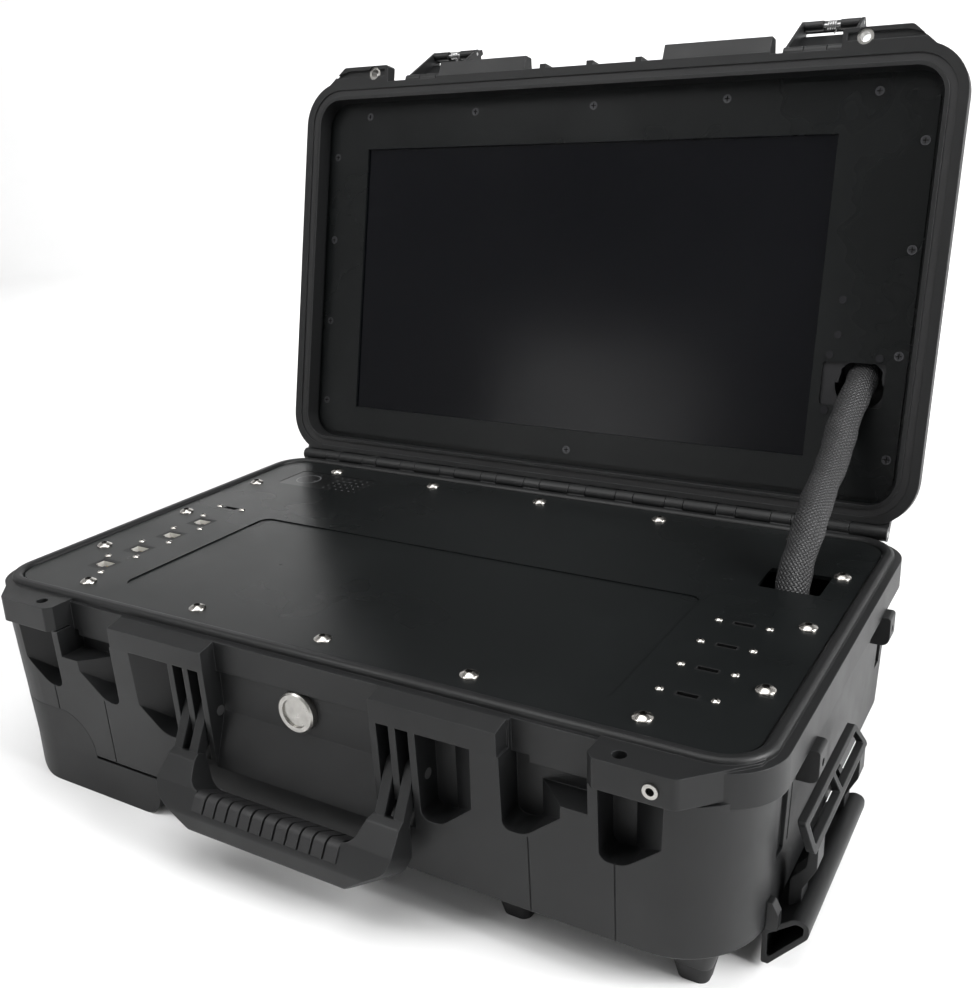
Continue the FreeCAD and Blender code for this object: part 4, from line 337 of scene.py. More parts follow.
def mix_colours(tree, share, first, second):
    """Mixes two colours, each a tuple or a socket, by a share from 0 to 1."""
    node = add_node(tree, "ShaderNodeMix", data_type="RGBA")
    tree.links.new(share, node.inputs[0])
    for place, value in ((6, first), (7, second)):
        if isinstance(value, bpy.types.NodeSocket):
            tree.links.new(value, node.inputs[place])
        else:
            node.inputs[place].default_value = (*value[:3], 1.0)
    return node.outputs[2]


def shaded(tone, share):
    """A colour made darker or lighter by a share of itself."""
    return (*(share * c for c in tone[:3]), 1.0)


def new_group(name, inputs, outputs):
    """An empty shader group with named number inputs, and outputs of the given socket types."""
    group = bpy.data.node_groups.new(name, "ShaderNodeTree")
    for key, value in inputs.items():
        socket = group.interface.new_socket(name=key, in_out="INPUT", socket_type="NodeSocketFloat")
        socket.default_value = value
    for key, kind in outputs.items():
        group.interface.new_socket(name=key, in_out="OUTPUT", socket_type=kind)
    entry = group.nodes.new("NodeGroupInput")
    leave = group.nodes.new("NodeGroupOutput")
    return group, entry.outputs, leave.inputs


def hex_edge(turn, across):
    """Distance from a hexagon's middle to its edge, a / cos(((t + 30) mod 60) - 30), where a is
    half its width across flats."""
    return across / 2 / np.cos((turn + math.pi / 6) % (math.pi / 3) - math.pi / 6)


def cross_edge(turn, reach, width):
    """Distance from a cross's middle to its edge: the less of reach / cos(t) and w / 2 / sin(t),
    where t is the angle to the nearest arm and w its width."""
    lean = np.abs((turn + math.pi / 4) % (math.pi / 2) - math.pi / 4)
    return np.minimum(reach / np.cos(lean), width / 2 / np.maximum(np.sin(lean), 1e-6))


def lid_opened(points):
    """Turns points of the shut lid about the hinge to where the lid stands open."""
    y = points[..., 1] - LID_HINGE[0]
    z = points[..., 2] - LID_HINGE[1]
    opened = points.copy()
    opened[..., 1] = LID_HINGE[0] + y * math.cos(LID_TURN) - z * math.sin(LID_TURN)
    opened[..., 2] = LID_HINGE[1] + y * math.sin(LID_TURN) + z * math.cos(LID_TURN)
    return opened


def repeat_faces(faces, copies, points_each):
    """The same faces for several copies of a grid that follow each other in one list of points."""
    starts = points_each * np.arange(copies)[:, None, None]
    return (faces[None] + starts).reshape(-1, faces.shape[1])


def screw_heads(name, spots, face, radius, rise, drive, deep, up=1.0):
    """Screw heads, two polar grids each. The crown runs from the rim R to the drive's edge d(t),
    r = R + (d(t) - R) s, and is rise (k + (1 - k) (1 - (r / R)^2)) high, where k is the skirt's
    share. The drive drops from its edge to a floor. Heads look along +Z, or along -Z in the shut
    lid, where up is -1."""
    turn = np.linspace(0.0, 2 * math.pi, HEAD_SIDES, endpoint=False)
    edge = drive(turn)
    share = np.array(CROWN_SHARES)[:, None]
    crown_r = radius + (edge - radius) * share
    crown_z = rise * (HEAD_SKIRT + (1 - HEAD_SKIRT) * (1 - (crown_r / radius) ** 2))
    crown_z[0] = 0.0
    drive_r = edge * np.array(DRIVE_REACH)[:, None]
    drive_z = crown_z[-1] - deep * np.array(DRIVE_DROP)[:, None]
    reach = np.concatenate((crown_r, drive_r))
    height = face + up * np.concatenate((crown_z, drive_z))
    ring = np.stack((reach * np.cos(turn), up * reach * np.sin(turn), height), axis=2)
    places = np.array([(x, y, 0.0) for x, y in spots])
    points = places[:, None, None, :] + ring
    rows, columns = reach.shape
    crown = grid_faces(len(share), columns, close_columns=True)
    socket = grid_faces(len(DRIVE_REACH), columns, close_columns=True) + len(share) * columns
    faces = repeat_faces(np.concatenate((crown, socket)), len(spots), rows * columns)
    # Faces of the drive take the second slot, a near-black painted shade in the recess
    in_drive = np.tile(np.arange(len(crown) + len(socket)) >= len(crown), len(spots))
    if up < 0:
        points = lid_opened(points)
    piece = mesh_piece(name, points, faces)
    piece.data.polygons.foreach_set("material_index", in_drive.astype(np.int32))
    return piece


def grain_group():
    """Moulded grain: fine noise as height, and a slow cloud from 0 to 1 for tone and gloss."""
    group, entry, leave = new_group(
        "Moulded grain", {"Grain": 1800.0, "Cloud": 9.0},
        {"Height": "NodeSocketFloat", "Cloud": "NodeSocketFloat"},
    )
    place = add_node(group, "ShaderNodeTexCoord").outputs["Object"]
    fine = add_node(group, "ShaderNodeTexNoise", {"Detail": 2.0, "Roughness": 0.6})
    slow = add_node(group, "ShaderNodeTexNoise", {"Detail": 4.0, "Roughness": 0.62})
    for node, key in ((fine, "Grain"), (slow, "Cloud")):
        group.links.new(place, node.inputs["Vector"])
        group.links.new(entry[key], node.inputs["Scale"])
    group.links.new(fine.outputs[0], leave["Height"])
    group.links.new(spread(group, slow.outputs[0], 0.35, 0.65, 0.0, 1.0), leave["Cloud"])
    return group


def edge_group():
    """Edge wear and painted highlight: the normal that a rounded edge would have, and a mask that grows
    with the angle between that normal and the face, broken up by noise. The mask lightens the colour along
    edges, as wear and as a painted highlight."""
    group, entry, leave = new_group(
        "Rubbed edges", {"Radius": 0.0007, "Patches": 60.0},
        {"Mask": "NodeSocketFloat", "Normal": "NodeSocketVector"},
    )
    rounded = add_node(group, "ShaderNodeBevel", samples=4)
    group.links.new(entry["Radius"], rounded.inputs["Radius"])
    face = add_node(group, "ShaderNodeNewGeometry").outputs["Normal"]
    turn = add_node(group, "ShaderNodeVectorMath", operation="DOT_PRODUCT")
    group.links.new(rounded.outputs[0], turn.inputs[0])
    group.links.new(face, turn.inputs[1])
    # The edge mask lightens colour along edges: wear, and a painted highlight
    wear_and_highlight = spread(group, turn.outputs["Value"], 0.97, 0.80, 0.0, 1.0)
    place = add_node(group, "ShaderNodeTexCoord").outputs["Object"]
    patch = add_node(group, "ShaderNodeTexNoise", {"Detail": 3.0, "Roughness": 0.7})
    group.links.new(place, patch.inputs["Vector"])
    group.links.new(entry["Patches"], patch.inputs["Scale"])
    broken = spread(group, patch.outputs[0], 0.38, 0.66, 0.25, 1.0)
    group.links.new(math_node(group, "MULTIPLY", wear_and_highlight, broken), leave["Mask"])
    group.links.new(rounded.outputs[0], leave["Normal"])
    return group


def braid_group():
    """Braid on a tube's own UV map, where U goes round and V along. Two families of strands,
    a = strands (u + turns v) and b = strands (u - turns v), each bulge as |sin|, and the sign of
    sin(a) sin(b) says which of them lies on top in a cell."""
    group, entry, leave = new_group(
        "Sleeve braid", {"Strands": 40.0, "Turns": 3.0},
        {"Height": "NodeSocketFloat", "Gap": "NodeSocketFloat"},
    )
    place = add_node(group, "ShaderNodeUVMap").outputs["UV"]
    split = add_node(group, "ShaderNodeSeparateXYZ")
    group.links.new(place, split.inputs[0])
    slant = math_node(group, "MULTIPLY", split.outputs[1], entry["Turns"])
    waves = []
    for operation in ("ADD", "SUBTRACT"):
        phase = math_node(group, operation, split.outputs[0], slant)
        angle = math_node(group, "MULTIPLY", math_node(group, "MULTIPLY", phase, entry["Strands"]), math.pi)
        waves.append(math_node(group, "SINE", angle))
    bulges = [math_node(group, "ABSOLUTE", wave) for wave in waves]
    sign = math_node(group, "MULTIPLY", waves[0], waves[1])
    first_up = math_node(group, "GREATER_THAN", sign, 0.0)
    second_up = math_node(group, "SUBTRACT", 1.0, first_up)
    top = math_node(
        group, "ADD", math_node(group, "MULTIPLY", bulges[0], first_up),
        math_node(group, "MULTIPLY", bulges[1], second_up),
    )
    low = math_node(group, "MULTIPLY", bulges[0], bulges[1])
    group.links.new(math_node(group, "MULTIPLY_ADD", low, 0.5, top), leave["Height"])
    # Where neither strand bulges lies the gap, which the finish paints near black as shade
    group.links.new(spread(group, top, 0.15, 0.55, 1.0, 0.0), leave["Gap"])
    return group


def shared_group(name):
    """One of the shared effects, built the first time that it is asked for."""
    makers = {"Moulded grain": grain_group, "Rubbed edges": edge_group, "Sleeve braid": braid_group}
    return bpy.data.node_groups.get(name) or makers[name]()


def place_group(tree, name, **inputs):
    """A shared effect placed in a material with its own values."""
    node = add_node(tree, "ShaderNodeGroup", node_tree=shared_group(name))
    for key, value in inputs.items():
        node.inputs[key].default_value = value
    return node.outputs


def new_material(name, **sockets):
    """A material with one Principled shader and its constant sockets."""
    material = bpy.data.materials.new(name)
    material.use_nodes = True
    tree = material.node_tree
    shader = tree.nodes["Principled BSDF"]
    for key, value in sockets.items():
        shader.inputs[key.replace("_", " ")].default_value = value
    return material, tree, shader.inputs


def bumped(tree, height, depth, target, normal=None):
    """Raises a height by a depth in metres and feeds the normal of a shader."""
    bump = add_node(tree, "ShaderNodeBump", {"Strength": 1.0, "Distance": depth})
    tree.links.new(height, bump.inputs["Height"])
    if normal is not None:
        tree.links.new(normal, bump.inputs["Normal"])
    tree.links.new(bump.outputs[0], target)


def moulded_finish(name, tone, edge_wear_and_highlight, gloss, grain=1700.0, depth=0.000045, radius=0.0007, level=0.28):
    """Moulded plastic: a clouded tone, lighter along edges as wear and as a painted highlight, with a fine
    grain.
    """
    material, tree, shader = new_material(name, Specular_IOR_Level=level)
    skin = place_group(tree, "Moulded grain", Grain=grain, Cloud=11.0)
    edge = place_group(tree, "Rubbed edges", Radius=radius)
    cloud = mix_colours(tree, skin["Cloud"], shaded(tone, 0.78), tuple(tone))
    # Edges take the lighter tone: wear, and a painted highlight
    tree.links.new(mix_colours(tree, edge["Mask"], cloud, tuple(edge_wear_and_highlight)), shader["Base Color"])
    dull = spread(tree, skin["Cloud"], 0.0, 1.0, gloss + 0.07, gloss - 0.03)
    tree.links.new(math_node(tree, "MULTIPLY_ADD", edge["Mask"], -0.08, dull), shader["Roughness"])
    bumped(tree, skin["Height"], depth, shader["Normal"], edge["Normal"])
    return material


def coated_finish(name, tone, gloss, depth=0.00002):
    """Powder coat on sheet: a dense fine peel, and hand marks that change the gloss."""
    material, tree, shader = new_material(name, Specular_IOR_Level=0.17)
    skin = place_group(tree, "Moulded grain", Grain=2600.0, Cloud=6.5)
    cloud = mix_colours(tree, skin["Cloud"], tuple(tone), shaded(tone, 1.35))
    tree.links.new(cloud, shader["Base Color"])
    tree.links.new(spread(tree, skin["Cloud"], 0.0, 1.0, gloss - 0.05, gloss + 0.06), shader["Roughness"])
    bumped(tree, skin["Height"], depth, shader["Normal"])
    return material


def plated_finish(name, tone, gloss, radius=0.0002):
    """Plated or ground metal: slightly uneven gloss, and edges that catch the light."""
    material, tree, shader = new_material(name, Metallic=1.0)
    skin = place_group(tree, "Moulded grain", Grain=900.0, Cloud=160.0)
    edge = place_group(tree, "Rubbed edges", Radius=radius, Patches=400.0)
    cloud = mix_colours(tree, skin["Cloud"], shaded(tone, 0.82), tuple(tone))
    tree.links.new(cloud, shader["Base Color"])
    tree.links.new(spread(tree, skin["Cloud"], 0.0, 1.0, gloss + 0.08, gloss - 0.04), shader["Roughness"])
    bumped(tree, skin["Height"], 0.000012, shader["Normal"], edge["Normal"])
    return material


def rubber_finish(name, tone, gloss=0.7, grain=1200.0, depth=0.00008):
    """Rubber: matt, with a coarse skin and a dusty cloud."""
    material, tree, shader = new_material(name, Specular_IOR_Level=0.4)
    skin = place_group(tree, "Moulded grain", Grain=grain, Cloud=22.0)
    cloud = mix_colours(tree, skin["Cloud"], tuple(tone), shaded(tone, 1.5))
    tree.links.new(cloud, shader["Base Color"])
    tree.links.new(spread(tree, skin["Cloud"], 0.0, 1.0, gloss - 0.06, gloss + 0.05), shader["Roughness"])
    bumped(tree, skin["Height"], depth, shader["Normal"])
    return material


def printed_film(name, tone):
    """Printed film: a fine ring and a field of dots, pale on the dark coat, by place on the panel."""
    material, tree, shader = new_material(name, Specular_IOR_Level=0.4)
    skin = place_group(tree, "Moulded grain", Grain=2600.0, Cloud=6.5)
    place = add_node(tree, "ShaderNodeTexCoord").outputs["Object"]
    split = add_node(tree, "ShaderNodeSeparateXYZ")
    tree.links.new(place, split.inputs[0])
    across = math_node(tree, "SUBTRACT", split.outputs[0], PRINT_RING[0])
    along = math_node(tree, "SUBTRACT", split.outputs[1], PRINT_RING[1])
    square = math_node(tree, "MULTIPLY_ADD", across, across, math_node(tree, "MULTIPLY", along, along))
    off_ring = math_node(tree, "SUBTRACT", math_node(tree, "SQRT", square), PRINT_RING_R)
    ring = math_node(tree, "LESS_THAN", math_node(tree, "ABSOLUTE", off_ring), PRINT_LINE)
    cells = []
    for value in (across, along):
        cells.append(math_node(tree, "PINGPONG", value, PRINT_PITCH / 2))
    rest = math_node(tree, "MULTIPLY", cells[1], cells[1])
    near = math_node(tree, "MULTIPLY_ADD", cells[0], cells[0], rest)
    dot = math_node(tree, "LESS_THAN", near, PRINT_DOT_R ** 2)
    field = math_node(tree, "GREATER_THAN", across, 2 * PRINT_RING_R)
    ink = math_node(tree, "MAXIMUM", ring, math_node(tree, "MULTIPLY", dot, field))
    wear_and_highlight = math_node(tree, "MULTIPLY", ink, spread(tree, skin["Cloud"], 0.0, 1.0, 0.45, 1.0))
    tree.links.new(mix_colours(tree, wear_and_highlight, tone, INK_TONE), shader["Base Color"])
    tree.links.new(spread(tree, skin["Cloud"], 0.0, 1.0, 0.26, 0.36), shader["Roughness"])
    bumped(tree, skin["Height"], 0.000008, shader["Normal"])
    return material


def screen_finish(name):
    """Dark glass of the screen, with a slow change of gloss."""
    material, tree, shader = new_material(name, Specular_IOR_Level=0.14)
    skin = place_group(tree, "Moulded grain", Grain=1500.0, Cloud=5.0)
    tree.links.new(mix_colours(tree, skin["Cloud"], *GLASS_TONES), shader["Base Color"])
    tree.links.new(spread(tree, skin["Cloud"], 0.0, 1.0, 0.16, 0.22), shader["Roughness"])
    bumped(tree, skin["Height"], 0.000003, shader["Normal"])
    return material


def braid_finish(name, strands, turns):
    """Braided sleeve: dark strands over gaps painted near black as shade, glossier where they bulge."""
    material, tree, shader = new_material(name, Specular_IOR_Level=0.5)
    weave = place_group(tree, "Sleeve braid", Strands=strands, Turns=turns)
    # Gaps between strands take painted shade
    tree.links.new(mix_colours(tree, weave["Gap"], STRAND_TONE, PAINTED_GAP_SHADE), shader["Base Color"])
    tree.links.new(spread(tree, weave["Height"], 0.3, 1.2, 0.75, 0.42), shader["Roughness"])
    bumped(tree, weave["Height"], 0.0005, shader["Normal"])
    return material


def dress(material, *nodes):
    """Gives a material to CAD nodes by name."""
    for name in nodes:
        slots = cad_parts[name].data.materials
        slots.clear()
        slots.append(material)


class HARDCASE_OT_moulded_parts(Operator):
    """Finish the moulded shells, boots, latches and handles"""

    bl_idname = "hardcase.moulded_parts"
    bl_label = "Moulded parts"

    def execute(self, context):
        look = context.scene.case_finish
        tone = np.array(look.shell_tone[:3])
        shell = moulded_finish("case_plastic", tuple(tone), look.edge_wear_and_highlight_tone, 0.44, radius=look.edge_round)
        dress(shell, "base_shell", "lid_shell", "end_lugs", "foot_pedestals", "pull_guides", "pull_clips")
        boot = moulded_finish("boot_plastic", tuple(0.85 * tone), look.edge_wear_and_highlight_tone, 0.50, depth=0.00006)
        dress(boot, "wheel_boot_front", "wheel_boot_back", "wheel_front_hub", "wheel_back_hub")
        latch = moulded_finish("latch_plastic", tuple(1.05 * tone), look.edge_wear_and_highlight_tone, 0.40, radius=0.0005)
        dress(latch, "latch_link_left", "latch_link_right", "latch_lever_left", "latch_lever_right")
        handle = moulded_finish("handle_plastic", tuple(1.15 * tone), look.edge_wear_and_highlight_tone, 0.48, radius=0.001)
        dress(handle, "front_handle", "pull_grip", "pull_frame")
        socket = moulded_finish("socket_plastic", tuple(0.6 * tone), look.edge_wear_and_highlight_tone, 0.5, radius=0.0002)
        dress(socket, "network_jacks", "slot_ports", "side_port", "screen_module")
        return {"FINISHED"}


class HARDCASE_OT_panels(Operator):
    """Finish the coated panels, their inner frames, the keypad film and the screen"""

    bl_idname = "hardcase.panels"
    bl_label = "Panels and screen"

    def execute(self, context):
        look = context.scene.case_finish
        coat = coated_finish("panel_coat", look.panel_tone, 0.30)
        dress(coat, "base_panel", "lid_panel", "lid_panel_seat")
        dress(printed_film("keypad_film", shaded(look.panel_tone, 0.6)), "keypad_overlay")
        dress(coated_finish("grey_bracket", BRACKET_TONE, 0.5), "lid_cable_bracket")
        milled = plated_finish("inner_frame", INNER_FRAME_TONE, 0.42)
        dress(milled, "base_panel_seat", "screen_straps", "base_cable_clamp")
        dress(screen_finish("screen_gloss"), "screen_glass")
        return {"FINISHED"}


class HARDCASE_OT_metal_parts(Operator):
    """Finish the pins, axles, springs, rings, studs, disc and rails"""

    bl_idname = "hardcase.metal_parts"
    bl_label = "Metal parts"

    def execute(self, context):
        disc = plated_finish("bright_disc", DISC_TONE, 0.30)
        dress(disc, "front_disc", "base_eyelet", "lid_eyelets")
        steel = plated_finish("steel", STEEL_TONE, 0.32)
        pins = ["handle_pins", "hinge_pin", "wheel_axles"]
        for side in ("left", "right"):
            pins += [f"latch_pivot_pin_{side}", f"latch_lever_pin_{side}", f"latch_spring_{side}"]
        dress(steel, *pins)
        dress(plated_finish("dark_studs", STUD_TONE, 0.45), "press_studs")
        dress(plated_finish("rail_aluminium", RAIL_TONE, 0.34), "pull_rails")
        return {"FINISHED"}


def panel_screw_spots():
    """Rows of the panel's screws: five along each long edge and three along each short one."""
    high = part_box("base_panel_screws")[1]
    edge_x = high.x - HEAD_R
    edge_y = high.y - HEAD_R
    rows = [(HEAD_PITCH_X * k, side * edge_y) for side in (-1, 1) for k in range(-2, 3)]
    return rows + [(side * edge_x, HEAD_PITCH_Y * k) for side in (-1, 1) for k in range(-1, 2)]


def socket_screw_spots():
    """One screw at two corners of each network socket, and one at each end of each slot."""
    spots = [(JACK_X + side * JACK_SCREW[0], y - side * JACK_SCREW[1]) for y in JACK_YS for side in (-1, 1)]
    spots += [(SLOT_X + side * SLOT_SCREW, y) for y in SLOT_YS for side in (-1, 1)]
    return spots + [(SIDE_SLOT[0] + side * SIDE_SLOT_SCREW, SIDE_SLOT[1]) for side in (-1, 1)]


def lid_screw_spots():
    """Five screws along the lid's free edge, four down each side and one at the hinge."""
    spots = [(LID_HEAD_PITCH_X * k, -LID_HEAD_Y) for k in range(-2, 3)]
    for side in (-1, 1):
        spots += [(side * LID_HEAD_X, LID_HEAD_FIRST_Y - LID_HEAD_PITCH_Y * k) for k in range(4)]
    return spots + [(0.0, LID_HEAD_Y)]


class HARDCASE_OT_screws(Operator):
    """Add the heads of all screws with their hexagon and cross drives"""

    bl_idname = "hardcase.screws"
    bl_label = "Screws"

    def execute(self, context):
        look = context.scene.case_finish
        nickel = plated_finish("bright_screws", look.nickel_tone, 0.22)
        # The drives of all heads are painted near black as shade in their recesses
        shade = plated_finish("drive_shade", PAINTED_DRIVE_SHADE, 0.55)
        black = plated_finish("dark_screws", LID_SCREW_TONE, 0.36)
        heads = (
            ("base_panel_screws", nickel, "bright_screws", "base", screw_heads(
                "panel_screw_heads", panel_screw_spots(), PANEL_FACE, HEAD_R, HEAD_RISE,
                lambda turn: hex_edge(turn, HEX_ACROSS), HEX_DEEP)),
            ("socket_screws", nickel, "bright_screws", "base", screw_heads(
                "socket_screw_heads", socket_screw_spots(), PANEL_FACE, SMALL_HEAD_R, SMALL_HEAD_RISE,
                lambda turn: hex_edge(turn, SMALL_HEX_ACROSS), SMALL_HEX_DEEP)),
            ("lid_panel_screws", black, "dark_screws", "lid", screw_heads(
                "lid_screw_heads", lid_screw_spots(), LID_FACE, LID_HEAD_R, 0.0,
                lambda turn: cross_edge(turn, CROSS_REACH, CROSS_WIDTH), CROSS_DEEP, up=-1.0)),
        )
        for node, metal, slot, body, piece in heads:
            piece.data.materials.append(metal)
            piece.data.materials.append(shade)
            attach(piece, body)
            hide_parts(node)
        return {"FINISHED"}


def jack_linings(places):
    """Metal linings a skin inside each mouth, whose outline, with a notch at its front, goes down
    through three levels."""
    front = -JACK_HALF_Y + LINING_SKIN
    shoulder = front + JACK_NOTCH_Y
    notch = JACK_NOTCH_X - LINING_SKIN
    wide = JACK_HALF_X - LINING_SKIN
    back = JACK_HALF_Y - LINING_SKIN
    right = [(notch, front), (notch, shoulder), (wide, shoulder), (wide, back)]
    outline = np.array(right + [(-x, y) for x, y in reversed(right)])
    levels = (LINING_LOW, LINING_BREAK * JACK_MOUTH_DEEP, JACK_MOUTH_DEEP - LINING_SKIN)
    points = np.empty((len(places), len(levels), len(outline), 3))
    points[..., :2] = places[:, None, None, :] + outline
    points[..., 2] = (PANEL_FACE - np.array(levels))[:, None]
    faces = grid_faces(len(levels), len(outline), close_columns=True)
    faces = repeat_faces(faces, len(places), len(levels) * len(outline))
    return mesh_piece("network_jack_linings", points, faces, smooth=False)


def jack_contacts(places):
    """Square wires in each mouth that lean from its back to its front as they go down: with s from
    0 to 1, y falls by lean s^c and z by drop s."""
    share = np.linspace(0.0, 1.0, CONTACT_STEPS)
    lean_y = JACK_HALF_Y - LINING_SKIN - CONTACT_BACK - CONTACT_LEAN * share ** CONTACT_CURVE
    lean_z = PANEL_FACE - CONTACT_TOP - CONTACT_DROP * share
    corner = CONTACT_HALF * np.array(((-1, -1), (1, -1), (1, 1), (-1, 1)))
    offsets = CONTACT_PITCH * (np.arange(CONTACT_COUNT) - (CONTACT_COUNT - 1) / 2)
    x = places[:, None, None, None, 0] + offsets[:, None, None] + corner[:, 0]
    y = places[:, None, None, None, 1] + lean_y[:, None] + corner[:, 1]
    shape = (len(places), len(offsets), len(share), len(corner))
    wires = np.stack([np.broadcast_to(a, shape) for a in (x, y, lean_z[:, None])], axis=-1)
    faces = grid_faces(len(share), len(corner), close_columns=True)[:, ::-1]
    faces = repeat_faces(faces, len(places) * len(offsets), len(share) * len(corner))
    return mesh_piece("network_jack_contacts", wires, faces, smooth=False)


class HARDCASE_OT_socket_linings(Operator):
    """Add the metal lining and the eight contacts in the mouth of each network socket"""

    bl_idname = "hardcase.socket_linings"
    bl_label = "Socket linings"

    def execute(self, context):
        places = np.array([(JACK_X, y) for y in JACK_YS])
        lining = jack_linings(places)
        lining.data.materials.append(plated_finish("socket_shield", SHIELD_TONE, 0.52))
        contacts = jack_contacts(places)
        contacts.data.materials.append(plated_finish("contact_gold", CONTACT_TONE, 0.34))
        for piece in (lining, contacts):
            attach(piece, "base")
        return {"FINISHED"}


class HARDCASE_OT_rubber_parts(Operator):
    """Finish the gasket, grip, feet and tyres"""

    bl_idname = "hardcase.rubber_parts"
    bl_label = "Rubber parts"

    def execute(self, context):
        tone = context.scene.case_finish.rubber_tone
        dress(rubber_finish("gasket_rubber", tone, 0.6), "lid_gasket")
        dress(rubber_finish("grip_rubber", tone, 0.56), "handle_grip")
        dress(rubber_finish("foot_rubber", tone), "rubber_feet")
        dress(rubber_finish("wheel_tyre", tone, 0.66), "wheel_front_tyre", "wheel_back_tyre")
        return {"FINISHED"}


def route_points(route):
    """Points along a smooth NURBS line of order 3 that has the route as its control points."""
    curve = bpy.data.curves.new("cable_line", "CURVE")
    curve.dimensions = "3D"
    curve.resolution_u = 12
    spline = curve.splines.new("NURBS")
    spline.points.add(len(route) - 1)
    spline.points.foreach_set("co", [value for point in route for value in (*point, 1.0)])
    spline.order_u = 3
    spline.use_endpoint_u = True
    line = bpy.data.objects.new("cable_line", curve)
    mesh = bpy.data.meshes.new_from_object(line)
    points = np.empty(3 * len(mesh.vertices))
    mesh.vertices.foreach_get("co", points)
    bpy.data.objects.remove(line)
    bpy.data.meshes.remove(mesh)
    return points.reshape(-1, 3)


def tube_sides(path):
    """Two sides square to a path at each point: the X axis made square to the unit tangent, and the
    cross product of the tangent and that side."""
    along = np.gradient(path, axis=0)
    along /= np.linalg.norm(along, axis=1)[:, None]
    side = np.array([1.0, 0.0, 0.0]) - along * along[:, :1]
    side /= np.linalg.norm(side, axis=1)[:, None]
    return side, np.cross(along, side)


def sleeve_lumps(far, turn):
    """Bulges of the bundle in the sleeve, with s along it and t round it: 0.55 sin(21 s + 1.2 cos t)
    + 0.3 sin(47 s - 2 t + 0.8) + 0.15 sin(83 s + 3 t)."""
    slow = 0.55 * np.sin(21.0 * far + 1.2 * np.cos(turn))
    middle = 0.3 * np.sin(47.0 * far - 2 * turn + 0.8)
    return slow + middle + 0.15 * np.sin(83.0 * far + 3 * turn)


def add_uv(piece, across, along):
    """Writes a UV map from one value across and one along for each point."""
    layer = piece.data.uv_layers.new(name="sleeve")
    corner = np.empty(len(piece.data.loops), dtype=np.int32)
    piece.data.loops.foreach_get("vertex_index", corner)
    values = np.stack((across.ravel()[corner], along.ravel()[corner]), axis=1)
    layer.data.foreach_set("uv", values.astype(np.float32).ravel())


class HARDCASE_OT_cable(Operator):
    """Add the braided cable that joins base and lid"""

    bl_idname = "hardcase.cable"
    bl_label = "Cable"

    def execute(self, context):
        sleeve = context.scene.cable_sleeve
        path = route_points(CABLE_ROUTE)
        steps = np.linalg.norm(np.diff(path, axis=0), axis=1)
        reach = np.concatenate(([0.0], np.cumsum(steps)))
        length = reach[-1]
        far = reach[:, None] / length
        turn = np.linspace(0.0, 2 * math.pi, CABLE_SIDES + 1)
        side, up = tube_sides(path)
        radius = sleeve.radius - sleeve.swelling + sleeve.swelling * sleeve_lumps(far, turn)
        ring = np.cos(turn)[None, :, None] * side[:, None, :] + np.sin(turn)[None, :, None] * up[:, None, :]
        points = path[:, None, :] + radius[:, :, None] * ring
        size = points.shape[:2]
        piece = mesh_piece("monitor_cable_sleeve", points, grid_faces(*size)[:, ::-1])
        add_uv(piece, np.broadcast_to(turn / (2 * math.pi), size), np.broadcast_to(far, size))
        piece.data.materials.append(braid_finish("cable_braid", sleeve.strands, length / sleeve.lay_length))
        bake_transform(piece)
        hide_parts("monitor_cable")
        return {"FINISHED"}


def soft_lamp(name, place, aim, size, power):
    """A large square lamp that faces a point."""
    lamp = bpy.data.lights.new(name, "AREA")
    lamp.size = size
    lamp.energy = power
    holder = bpy.data.objects.new(name, lamp)
    away = np.array(place) - np.array(aim)
    away = away / np.linalg.norm(away)
    across = np.cross((0.0, 0.0, 1.0), away)
    across = across / np.linalg.norm(across)
    holder.matrix_world = axes_matrix(across, np.cross(away, across), away, place)
    bpy.context.scene.collection.objects.link(holder)


def axes_matrix(x_axis, y_axis, z_axis, place):
    """A matrix with the given axes as columns, at a place."""
    turned = np.eye(4)
    turned[:3, 0] = x_axis
    turned[:3, 1] = y_axis
    turned[:3, 2] = z_axis
    turned[:3, 3] = place
    return Matrix(turned.tolist())


def studio_floor(tone):
    """Floor and backdrop: a profile that runs flat, then up a quarter circle and a wall, turned
    round Z."""
    swing = np.linspace(0.0, math.pi / 2, BEND_STEPS)
    bend_out = FLOOR_FLAT + BACKDROP_BEND * np.sin(swing)
    bend_rise = BACKDROP_BEND * (1 - np.cos(swing))
    out = np.concatenate((FLOOR_RINGS, bend_out, [FLOOR_FLAT + BACKDROP_BEND]))
    rise = np.concatenate((np.zeros(len(FLOOR_RINGS)), bend_rise, [BACKDROP_TOP]))
    turn = np.linspace(0.0, 2 * math.pi, FLOOR_SIDES, endpoint=False)
    height = np.broadcast_to(rise[:, None], (len(out), FLOOR_SIDES))
    points = np.stack((out[:, None] * np.cos(turn), out[:, None] * np.sin(turn), height), axis=2)
    faces = grid_faces(len(out), FLOOR_SIDES, close_columns=True)
    floor = mesh_piece("studio_floor", points, faces[:, ::-1])
    material, tree, shader = new_material("studio_floor", Roughness=0.8, Specular_IOR_Level=0.2)
    skin = place_group(tree, "Moulded grain", Grain=300.0, Cloud=1.5)
    pale = mix_colours(tree, skin["Cloud"], tuple(tone), shaded(tone, 0.98))
    tree.links.new(pale, shader["Base Color"])
    floor.data.materials.append(material)
    return floor


def main_camera(lens):
    """The camera of the main view."""
    camera = bpy.data.cameras.new("photo_camera")
    camera.lens = lens
    camera.sensor_width = SENSOR_WIDTH
    camera.shift_x = CAMERA_SHIFT[0]
    camera.shift_y = CAMERA_SHIFT[1]
    camera.clip_start = CLIP_START
    holder = bpy.data.objects.new("photo_camera", camera)
    look = np.array(CAMERA_LOOK)
    right = np.array(CAMERA_RIGHT)
    holder.matrix_world = axes_matrix(right, np.cross(right, look), -look, CAMERA_PLACE)
    return holder


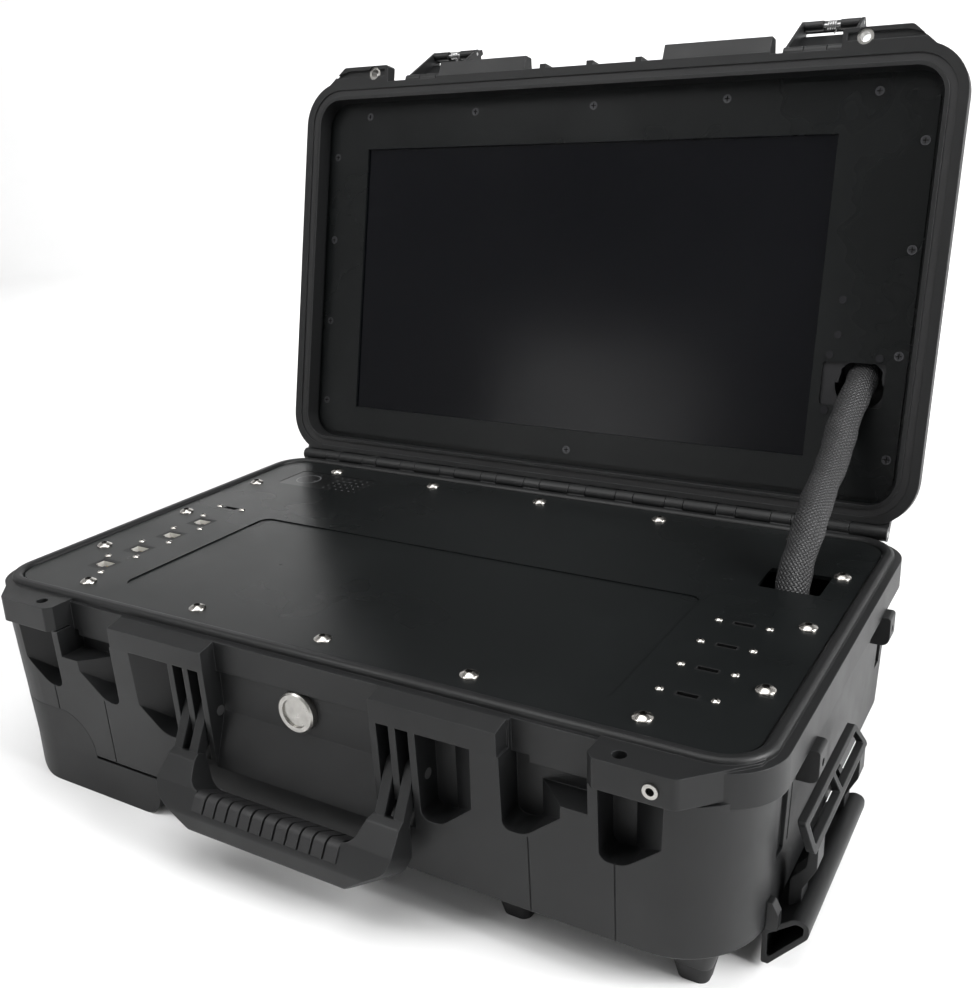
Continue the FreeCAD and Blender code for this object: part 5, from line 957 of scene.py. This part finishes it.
class HARDCASE_OT_studio(Operator):
    """Add the floor with its rounded backdrop, the lamps, the room light and the camera"""

    bl_idname = "hardcase.studio"
    bl_label = "Studio"

    def execute(self, context):
        studio = context.scene.case_studio
        floor = studio_floor(studio.floor_tone)
        world = bpy.data.worlds.new("studio_room")
        world.use_nodes = True
        room = world.node_tree.nodes["Background"].inputs
        room["Color"].default_value = (1.0, 1.0, 1.0, 1.0)
        room["Strength"].default_value = studio.sky
        context.scene.world = world
        for name, place, aim, size, power in LAMPS:
            soft_lamp(name, place, aim, size, getattr(studio, power))
        holder = main_camera(studio.lens)
        context.scene.collection.objects.link(holder)
        context.scene.camera = holder
        context.scene.view_settings.view_transform = "Standard"
        return {"FINISHED"}


class HARDCASE_PT_dresser(Panel):
    """Lists the steps that dress the case"""

    bl_idname = "HARDCASE_PT_dresser"
    bl_label = "Hard case"
    bl_space_type = "VIEW_3D"
    bl_region_type = "UI"
    bl_category = "Hard case"

    def draw(self, context):
        for step in STEPS:
            self.layout.operator(step.bl_idname)
        for name in PROPERTY_NAMES:
            group = getattr(context.scene, name)
            for key in group.bl_rna.properties.keys():
                if key not in ("rna_type", "name"):
                    self.layout.prop(group, key)


STEPS = (
    HARDCASE_OT_moulded_parts,
    HARDCASE_OT_panels,
    HARDCASE_OT_metal_parts,
    HARDCASE_OT_screws,
    HARDCASE_OT_socket_linings,
    HARDCASE_OT_rubber_parts,
    HARDCASE_OT_cable,
    HARDCASE_OT_studio,
)
CLASSES = (*PROPERTY_NAMES.values(), *STEPS, HARDCASE_PT_dresser)


def register():
    for kind in CLASSES:
        bpy.utils.register_class(kind)
    for name, kind in PROPERTY_NAMES.items():
        setattr(bpy.types.Scene, name, PointerProperty(type=kind))


def unregister():
    for name in PROPERTY_NAMES:
        delattr(bpy.types.Scene, name)
    for kind in reversed(CLASSES):
        bpy.utils.unregister_class(kind)


def main():
    register()
    for step in STEPS:
        family, name = step.bl_idname.split(".")
        getattr(getattr(bpy.ops, family), name)()


if __name__ == "__main__":
    main()
